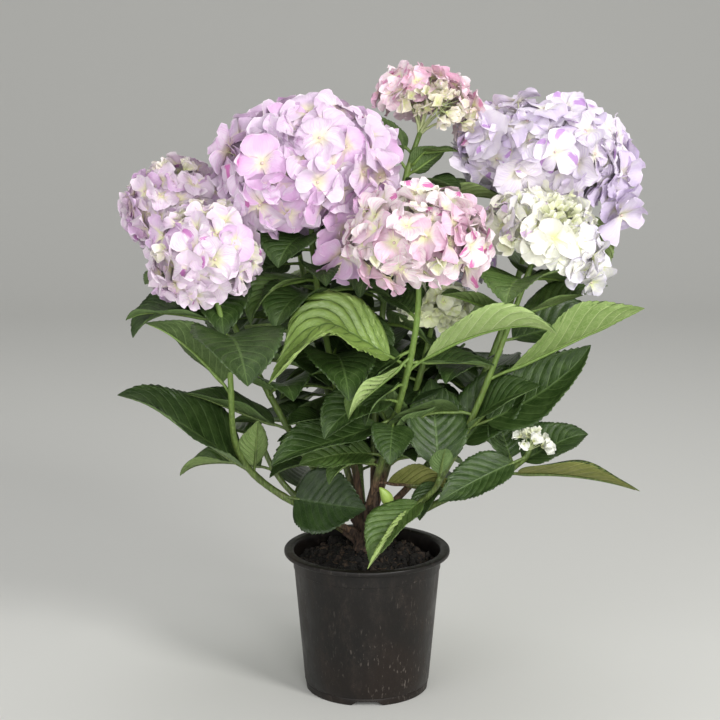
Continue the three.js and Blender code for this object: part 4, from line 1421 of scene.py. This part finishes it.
def add_rib(stalks, bending, turns, petiole, blade):
    """A leaf's petiole, which runs on as the midrib under its blade."""
    along_petiole = np.linspace(0, petiole, PETIOLE_STEPS)
    along_blade = petiole + blade * np.linspace(*RIB_ENDS, RIB_STEPS)
    distance = np.concatenate((along_petiole, along_blade))
    point, tangent, side, normal = leaf_place(*bending, distance)
    past = np.clip((distance - petiole) / blade, 0, 1)
    above = rolled(tangent, side, normal, twist_at(past, turns))[1]
    radii = np.where(
        distance < petiole,
        PETIOLE_RADIUS * (1.25 - 0.45 * smooth(0, petiole * 0.3, distance)),
        PETIOLE_RADIUS * 0.8 * (1 - past) ** 0.8 + RIB_TIP_RADIUS,
    )
    deep = radii * 1.02 + BLADE_THICKNESS * 0.4
    sink = deep * smooth(petiole * 0.75, petiole + blade * 0.1, distance)
    level = np.cross(UP, polar(bending[1], 1, 0))
    add_tube(stalks, point - above * sink[:, None], radii, PETIOLE_SIDES, level)


def inside(point):
    """Whether a point lies in a dense inner part of the shrub."""
    if point[1] < INNER_FRONT:
        return False
    return any(
        ((point[0] - x) / half_width) ** 2 + ((point[2] - z) / half_height) ** 2 < 1
        for x, z, half_width, half_height in INNER_PARTS
    )


def inner_rows(shoot, seed, length):
    """The smaller leaves of a shoot, in pairs that cross from node to node."""
    rows = []
    for node in range(BARE_NODES, int(TOP_NODE * length / NODE_STEP)):
        spot = node * NODE_STEP / length
        root = shoot_curve(shoot, [spot])[0]
        for side in (0, 1):
            luck = [chance(seed + 0.5, node * 10 + side * 5 + draw) for draw in range(5)]
            swing = luck[0] - 0.5
            azimuth = shoot["way"][0] + 90 * node + 180 * side + INNER_SWING * swing
            size = within(INNER_LENGTH, luck[1])
            tip = root + polar(azimuth, INNER_REACH * size, INNER_CLIMB)
            if inside(root) and inside(tip):
                # Most inner leaves take the deep tint, painted shade for leaves deep inside the shrub.
                tint = "dark" if luck[2] < INNER_DARK else "deep"
                rise = within(INNER_RISE, luck[3])
                droop = within(INNER_DROOP, luck[4])
                rows.append((spot, azimuth, size, rise, droop, INNER_ROLL * swing, 1, tint))
    return rows


def make_shoot(name, shoot, seed, looks):
    """A shoot's stem and stalks as one piece, and its leaves as another."""
    bloom = shoot["bloom"]
    axis = leaning(bloom["neck"][0], bloom["neck"][1])
    middle = polar(*bloom["middle"])
    length = np.linalg.norm(np.diff(shoot_curve(shoot, np.linspace(0, 1, 50)), axis=0), axis=1).sum()
    shares = np.linspace(0, 1, int(length / STEM_STEP))
    path = shoot_curve(shoot, shares)
    radii = STEM_SLIMMED * (STEM_FOOT_RADIUS + (STEM_TIP_RADIUS - STEM_FOOT_RADIUS) * shares)
    main_rows = leaf_rows(shoot["leaves"] + FINER_LEAVES.get(name, []), seed)
    rows = main_rows + inner_rows(shoot, seed, length)
    for row in rows:
        radii = radii * (1 + NODE_SWELL * np.exp(-(((shares - row[0]) * length / NODE_LENGTH) ** 2)))
    radii = radii * within(STEM_UNEVEN, noise(path, 9, seed))
    foot = path[0] - STEM_FOOT_SUNK * unit(path[1] - path[0])
    path = np.concatenate(([foot], path))
    radii = np.concatenate(([STEM_FOOT_RADIUS * 0.9], radii))
    if name in BLOOMS:
        path = np.concatenate((path, [middle - 0.5 * bloom["high"] * axis]))
        radii = np.concatenate((radii, [STEM_TIP_RADIUS]))
    stalks = Pile()
    leaves = Pile()
    add_tube(stalks, path, radii, STEM_SIDES, polar(shoot["way"][0] + 90, 1, 0))
    for index, row in enumerate(rows):
        root = shoot_curve(shoot, [row[0]])[0]
        grid = INNER_GRID
        if index < len(main_rows):
            grid = FAR_GRID if name in FAR_SHOOTS else BLADE_GRID
        add_leaf(leaves, stalks, root, row, seed * 31 + index, grid)
    stalks.piece(f"shoot_{name}_stalks", [looks["stem"]], "green_stem", [f"stem_{name}"])
    leaves.piece(f"shoot_{name}_leaves", looks["leaves"], "leaf", [f"leaves_{name}"], mapped=True)


def dome(bloom, wrap, seed, count, first, depth, scatter):
    """Places over a bloom's dome by the source's spiral, and the facing of each."""
    axis = leaning(bloom["neck"][0], bloom["neck"][1])
    across = unit(np.cross((0.0, 1.0, 0.0), axis))
    along = np.cross(axis, across)
    index = np.arange(count)
    spread = 1 - (1 - math.cos(math.radians(wrap))) * ((index + 0.5) / count)
    out = np.sqrt(1 - spread**2)
    turn = np.radians(index * GOLDEN_TURN + seed * 40 + first)
    deep = depth - scatter * chance(seed, index + DEPTH_DRAW + first)
    sideways = np.cos(turn)[:, None] * across + np.sin(turn)[:, None] * along
    deep = deep - CROWN_DROP * np.maximum(spread, 0)
    point = polar(*bloom["middle"]) + sideways * (out * bloom["wide"] * deep)[:, None]
    point = point + axis * (spread * bloom["high"] * deep)[:, None]
    facing = unit(sideways * (out / bloom["wide"])[:, None] + axis * (spread / bloom["high"])[:, None])
    for way, draw in zip((across, along), FACING_DRAWS):
        swing = FACING_SCATTER * (chance(seed, index + draw + first) - 0.5)
        facing = facing + way * swing[:, None]
    return point, unit(facing)


def sepals(point, facing, size, lifts, seed, cells):
    """Four ruffled sepals for each floret, as points, quads and map spots."""
    count = len(point)
    index = np.arange(count)[:, None] * 4 + np.arange(4)
    luck = [chance(seed, index + SEPAL_DRAWS * draw) for draw in range(1, 12)]
    each = (..., None, None)
    row = SEPAL_TOP * np.sin(math.pi / 2 * np.linspace(0, 1, SEPAL_ROWS + 1))[:, None]
    across = np.linspace(-1, 1, SEPAL_COLUMNS + 1)[None, :]
    off = np.abs(across)
    claw = SEPAL_CLAW + (1 - SEPAL_CLAW) * smooth(0, SEPAL_WIDEST, row)
    cap = np.sqrt(1 - (np.maximum(row - SEPAL_WIDEST, 0) / (1 - SEPAL_WIDEST)) ** 2)
    wide = claw * cap * (1 + SEPAL_WOBBLE * np.sin(19 * row + PHASES * luck[0][each]))

    # A sepal's midrib leaves the floret at its root lift and ends at its tip lift.
    root_lift = np.radians(lifts[:, 0, None] + ROOT_SCATTER * (luck[1] - 0.5))[..., None]
    tip_lift = np.radians(lifts[:, 1, None] + TIP_SCATTER * (luck[2] - 0.5))[..., None]
    angle = root_lift + (tip_lift - root_lift) * row[:, 0]
    gap = np.diff(row[:, 0], prepend=0)
    run = np.cumsum(np.cos(angle) * gap, -1)
    climb = np.cumsum(np.sin(angle) * gap, -1)
    reach = size[:, None] * within(SEPAL_LENGTH, luck[3])
    breadth = reach * within(SEPAL_BREADTH, luck[4])
    radial = reach[each] * (run[..., None] - SEPAL_HEART)
    sideways = breadth[each] * wide * across

    # Its face is cupped, creased, tilted and ruffled along its edge.
    phase = PHASES * luck[5][each]
    ruffle = within(SEPAL_RUFFLE, luck[6][each]) * np.sin(7 * row + 2.6 * across + phase)
    ruffle = ruffle + SEPAL_CRIMP * np.sin(15 * row - 2 * across + 2 * phase)
    cup = within(SEPAL_CUP, luck[7][each]) * off**2 * wide - SEPAL_CREASE * (1 - off) ** 2 * row
    tilt = (SEPAL_TILT + TILT_SCATTER * (luck[8] - 0.5))[each] * across * wide * 0.5
    height = reach[each] * (climb[..., None] + cup + ruffle * off**1.3 * row + tilt * row)

    start = unit(np.cross(np.where(np.abs(facing[:, :1]) < 0.8, (1.0, 0, 0), (0, 1.0, 0)), facing))
    other = np.cross(facing, start)
    turn = 2 * math.pi * chance(seed, np.arange(count) + TURN_DRAW)[:, None]
    turn = turn + math.pi / 2 * np.arange(4) + SEPAL_SWING * (luck[9] - 0.5)
    away = np.cos(turn)[..., None] * start[:, None] + np.sin(turn)[..., None] * other[:, None]
    aside = np.cross(facing[:, None], away)
    points = point[:, None, None, None]
    points = points + away[:, :, None, None] * radial[..., None]
    points = points + aside[:, :, None, None] * sideways[..., None]
    points = points + facing[:, None, None, None] * height[..., None]
    sag = SEPAL_SAG * (1 - np.abs(away[..., 2])) * reach
    points[..., 2] -= sag[each] * row**2
    one = grid_faces(SEPAL_ROWS + 1, SEPAL_COLUMNS + 1)[:, [0, 3, 2, 1]]
    of_one = (SEPAL_ROWS + 1) * (SEPAL_COLUMNS + 1)
    faces = (one[None] + np.arange(count * 4)[:, None, None] * of_one).reshape(-1, 4)
    flip = np.where(luck[10] < 0.5, -1, 1)[each]
    along = np.broadcast_to(row, (count, 4, SEPAL_ROWS + 1, SEPAL_COLUMNS + 1))
    spots = cell_spots(flip * (across + 0 * row), along, SEPAL_CELLS[cells][:, None, None, None])
    return points.reshape(-1, 3), faces, spots.reshape(-1, 2)[faces]


def bloom_florets(bloom, habit, seed):
    """Places and facings of a bloom's florets, in its outer and inner layer and hanging."""
    outer, inner = habit["florets"]
    point, facing = dome(bloom, habit["wrap"], seed, outer, 0, OUTER_DEPTH, OUTER_SCATTER)
    inner_point, inner_facing = dome(
        bloom, habit["wrap"], seed, inner, INNER_DRAWS, INNER_DEPTH, INNER_SCATTER
    )
    hanging = np.array(habit.get("hanging", ()), float).reshape(-1, 3)
    hanging_facing = unit(hanging - polar(*bloom["middle"]) + HANGING_FACE)
    point = np.concatenate((point, inner_point, hanging))
    return point, np.concatenate((facing, inner_facing, hanging_facing))


def petal_looks(name, habit, seed):
    """The looks of a bloom's five kinds of floret."""
    main, pale, deep, heart, blotch = habit["colours"]
    return [
        sepal_look(f"petal_{name}_main", main, pale, heart, deep, None, seed),
        sepal_look(f"petal_{name}_pale", pale, main, heart, main, None, seed + 0.4),
        sepal_look(f"petal_{name}_deep", deep, main, heart, deep, None, seed + 0.7),
        sepal_look(f"petal_{name}_marked", main, pale, heart, deep, blotch, seed + 0.2),
        sepal_look(f"petal_{name}_young", pale, YOUNG_COLOUR, YOUNG_COLOUR, main, None, seed + 0.9),
    ]


def make_bloom(name, shoot, seed, looks):
    """A flower head's sepals, stalks and centres, each kind as one piece."""
    bloom = shoot["bloom"]
    habit = BLOOMS[name]
    axis = leaning(bloom["neck"][0], bloom["neck"][1])
    point, facing = bloom_florets(bloom, habit, seed)
    index = np.arange(len(point))
    luck = chance(seed, index + YOUNG_DRAW)
    way = unit(point - polar(*bloom["middle"]))
    near = way @ unit(np.array(habit.get("young_way", axis), float))
    young = near + YOUNG_RAGGED * (luck - 0.5) > 1 - habit["young"] * YOUNG_SPREAD
    young = young | (luck < YOUNG_STRAY * habit["young"])
    young = young & (habit["young"] > 0)
    size = habit["size"] * within(FLORET_SIZES, chance(seed, index + SIZE_DRAW))
    size = size * np.where(young, YOUNG_SIZE, 1)
    lifts = np.where(young[:, None], YOUNG_OPEN, habit["open"])
    kinds = np.digitize(chance(seed, index + KIND_DRAW), KIND_SHARES)
    if "deep_way" in habit:
        kinds = np.where(way @ unit(np.array(habit["deep_way"])) > DEEP_FROM, KIND_DEEP, kinds)
    kinds = np.where(young, KIND_YOUNG, kinds)
    points, faces, spots = sepals(point, facing, size, lifts, seed, kinds)
    pile = Pile()
    pile.add(points, (faces, np.repeat(kinds, 4 * SEPAL_ROWS * SEPAL_COLUMNS), spots))
    materials = petal_looks(name, habit, seed)
    pile.piece(f"bloom_{name}_sepals", materials, f"petals_{name}", [f"bloom_{name}"], mapped=True)
    make_rays(name, bloom, habit, seed, point, facing, looks)
    make_centres(name, point, facing, size, young, looks)


def make_rays(name, bloom, habit, seed, point, facing, looks):
    """A bloom's stalks: rays from its hub, and a thread from the nearest ray to each floret."""
    axis = leaning(bloom["neck"][0], bloom["neck"][1])
    hub = polar(*bloom["middle"]) - HUB_DROP * bloom["high"] * axis
    rays = Pile()
    tips = dome(bloom, habit["wrap"], seed, RAY_COUNT, RAY_DRAWS, RAY_REACH, RAY_SCATTER)[0]
    shares = np.linspace(0, 1, RAY_STEPS)
    scale = min(1.0, bloom["high"] / FULL_BLOOM)
    radii = np.linspace(*RAY_RADII, RAY_STEPS) * scale
    for tip in tips:
        path = curve_through((hub, hub + RAY_RISE * np.linalg.norm(tip - hub) * axis, tip), shares)
        add_tube(rays, path, radii, RAY_SIDES, RAY_HINT)
    for spot, face in zip(point, facing):
        tip = tips[np.argmin(np.linalg.norm(tips - spot, axis=1))]
        gap = np.linalg.norm(spot - tip)
        path = curve_through((tip, spot - THREAD_BEND * gap * face, spot), shares)
        add_tube(rays, path, THREAD_RADIUS * scale, THREAD_SIDES, RAY_HINT)
    rays.piece(f"bloom_{name}_rays", [looks["ray"]], "green_stem")


def make_centres(name, point, facing, size, young, looks):
    """The small bead in the middle of each floret."""
    ball, quads, fans = turned(arc((0, 0), 1, -90, 90, 5), 7)
    ball[:, :2] = np.where(np.abs(ball[:, :2]) < 1e-9, 0, ball[:, :2])
    centres = Pile()
    for spot, face, big, is_young in zip(point, facing, size, young):
        radius = CENTRE_SIZE * big + CENTRE_LEAST
        start = unit(np.cross(face, CENTRE_HINT))
        turn = np.stack((start, np.cross(face, start), face))
        bead = ball * (radius, radius, radius * CENTRE_FLAT) @ turn + spot + face * radius * CENTRE_LIFT
        centres.add(bead, (quads, int(is_young), None), (fans, int(is_young), None))
    centres.piece(f"bloom_{name}_centres", looks["centres"], f"petals_{name}")


def make_bud(looks):
    """A closed bud on a short stalk beside the foot of the shoots."""
    shares = np.linspace(0, 1, BUD_STEPS)
    foot, tip = np.array(BUD_FOOT, float), np.array(BUD_TIP, float)
    path = curve_through((foot, (foot + tip) / 2 + BUD_BOW, tip), shares)
    radii = BUD_RADIUS * np.sin(math.pi * shares**0.8) ** 0.8 + 0.5
    pile = Pile()
    add_tube(pile, path, radii, BUD_SIDES, UP)
    start = np.array(BUD_STALK_FOOT, float)
    stalk = curve_through((start, (start + foot) / 2 + BUD_STALK_BOW, foot), shares)
    add_tube(pile, stalk, BUD_STALK_RADIUS, BUD_STALK_SIDES, UP)
    pile.piece("leaf_bud", [looks["bud"]], "leaf")


def make_stage():
    """A pale floor that sweeps up behind the plant, and an even grey sky."""
    bend = [(FLOOR_BACK + y, z) for y, z in arc((0, SWEEP_RADIUS), SWEEP_RADIUS, -90, 0, 24)]
    profile = [(-FLOOR_REACH, 0), *bend, (FLOOR_BACK + SWEEP_RADIUS, FLOOR_REACH)]
    points = [(x, y, z) for y, z in profile for x in (-FLOOR_REACH, FLOOR_REACH)]
    mesh = bpy.data.meshes.new("floor")
    mesh.from_pydata(points, [], grid_faces(len(profile), 2).tolist())
    mesh.shade_smooth()
    floor = bpy.data.objects.new("floor", mesh)
    bpy.context.scene.collection.objects.link(floor)
    look = Look("floor", 0.8)
    mesh.materials.append(look.base(colour(FLOOR_COLOUR)))
    world = bpy.data.worlds.new("studio")
    world.use_nodes = True
    sky = world.node_tree.nodes["Background"]
    sky.inputs[0].default_value = SKY_GREY
    sky.inputs[1].default_value = SKY_STRENGTH
    bpy.context.scene.world = world
    bpy.context.scene.view_settings.view_transform = "Standard"


def add_light(name, place_at, size, power, tint):
    """A round soft light that is aimed at the middle of the plant."""
    data = bpy.data.lights.new(name, "AREA")
    data.shape = "DISK"
    data.size = size
    data.energy = power
    data.color = tint
    light = bpy.data.objects.new(name, data)
    light.location = place_at
    direction = np.array(LIGHTS_AIM) - np.array(place_at)
    tilt = math.acos(-direction[2] / np.linalg.norm(direction))
    light.rotation_euler = (tilt, 0, math.atan2(direction[1], direction[0]) - math.pi / 2)
    bpy.context.scene.collection.objects.link(light)


def make_camera():
    """The camera that sees the plant from the front and a little above."""
    data = bpy.data.cameras.new("camera")
    data.lens = LENS
    data.sensor_width = SENSOR
    camera = bpy.data.objects.new("camera", data)
    camera.location = CAMERA_AT
    camera.rotation_euler = (math.radians(90 - CAMERA_DOWN), 0, 0)
    bpy.context.scene.collection.objects.link(camera)
    bpy.context.scene.camera = camera


def shared_looks():
    """The looks that the shoots share."""
    leaf_looks = []
    for name, tint in TINTS.items():
        upper, upper_vein, lower, lower_vein = tint["colours"]
        leaf_looks.append(leaf_look(f"leaf_{name}_upper", "upper", upper, upper_vein, tint["veins"]))
        leaf_looks.append(leaf_look(f"leaf_{name}_lower", "lower", lower, lower_vein, LOWER_VEINS))
    return {
        "leaves": leaf_looks,
        "stem": stem_look("green_stem", "#49582a", "#6f8c40", "#8ba556"),
        "bud": plain_look("bud", "#93b04c", "#a9c264", 0.4),
        "ray": plain_look("ray", "#b9c88a", "#d3dba9", 0.5),
        "centres": [
            plain_look("centre", "#e2dcb4", "#cfa9c6", 0.5),
            plain_look("centre_young", "#d3dd92", "#e3e7b4", 0.5),
        ],
    }


make_camera()
make_stage()
for light_name, light in LIGHTS.items():
    add_light(light_name, *light)

make_pot()
make_soil()
make_stool()
shared = shared_looks()
for number, (shoot_name, the_shoot) in enumerate(SHOOTS.items(), start=1):
    make_shoot(shoot_name, the_shoot, number, shared)
    if shoot_name in BLOOMS:
        make_bloom(shoot_name, the_shoot, number, shared)
make_bud(shared)

bpy.context.view_layer.update()
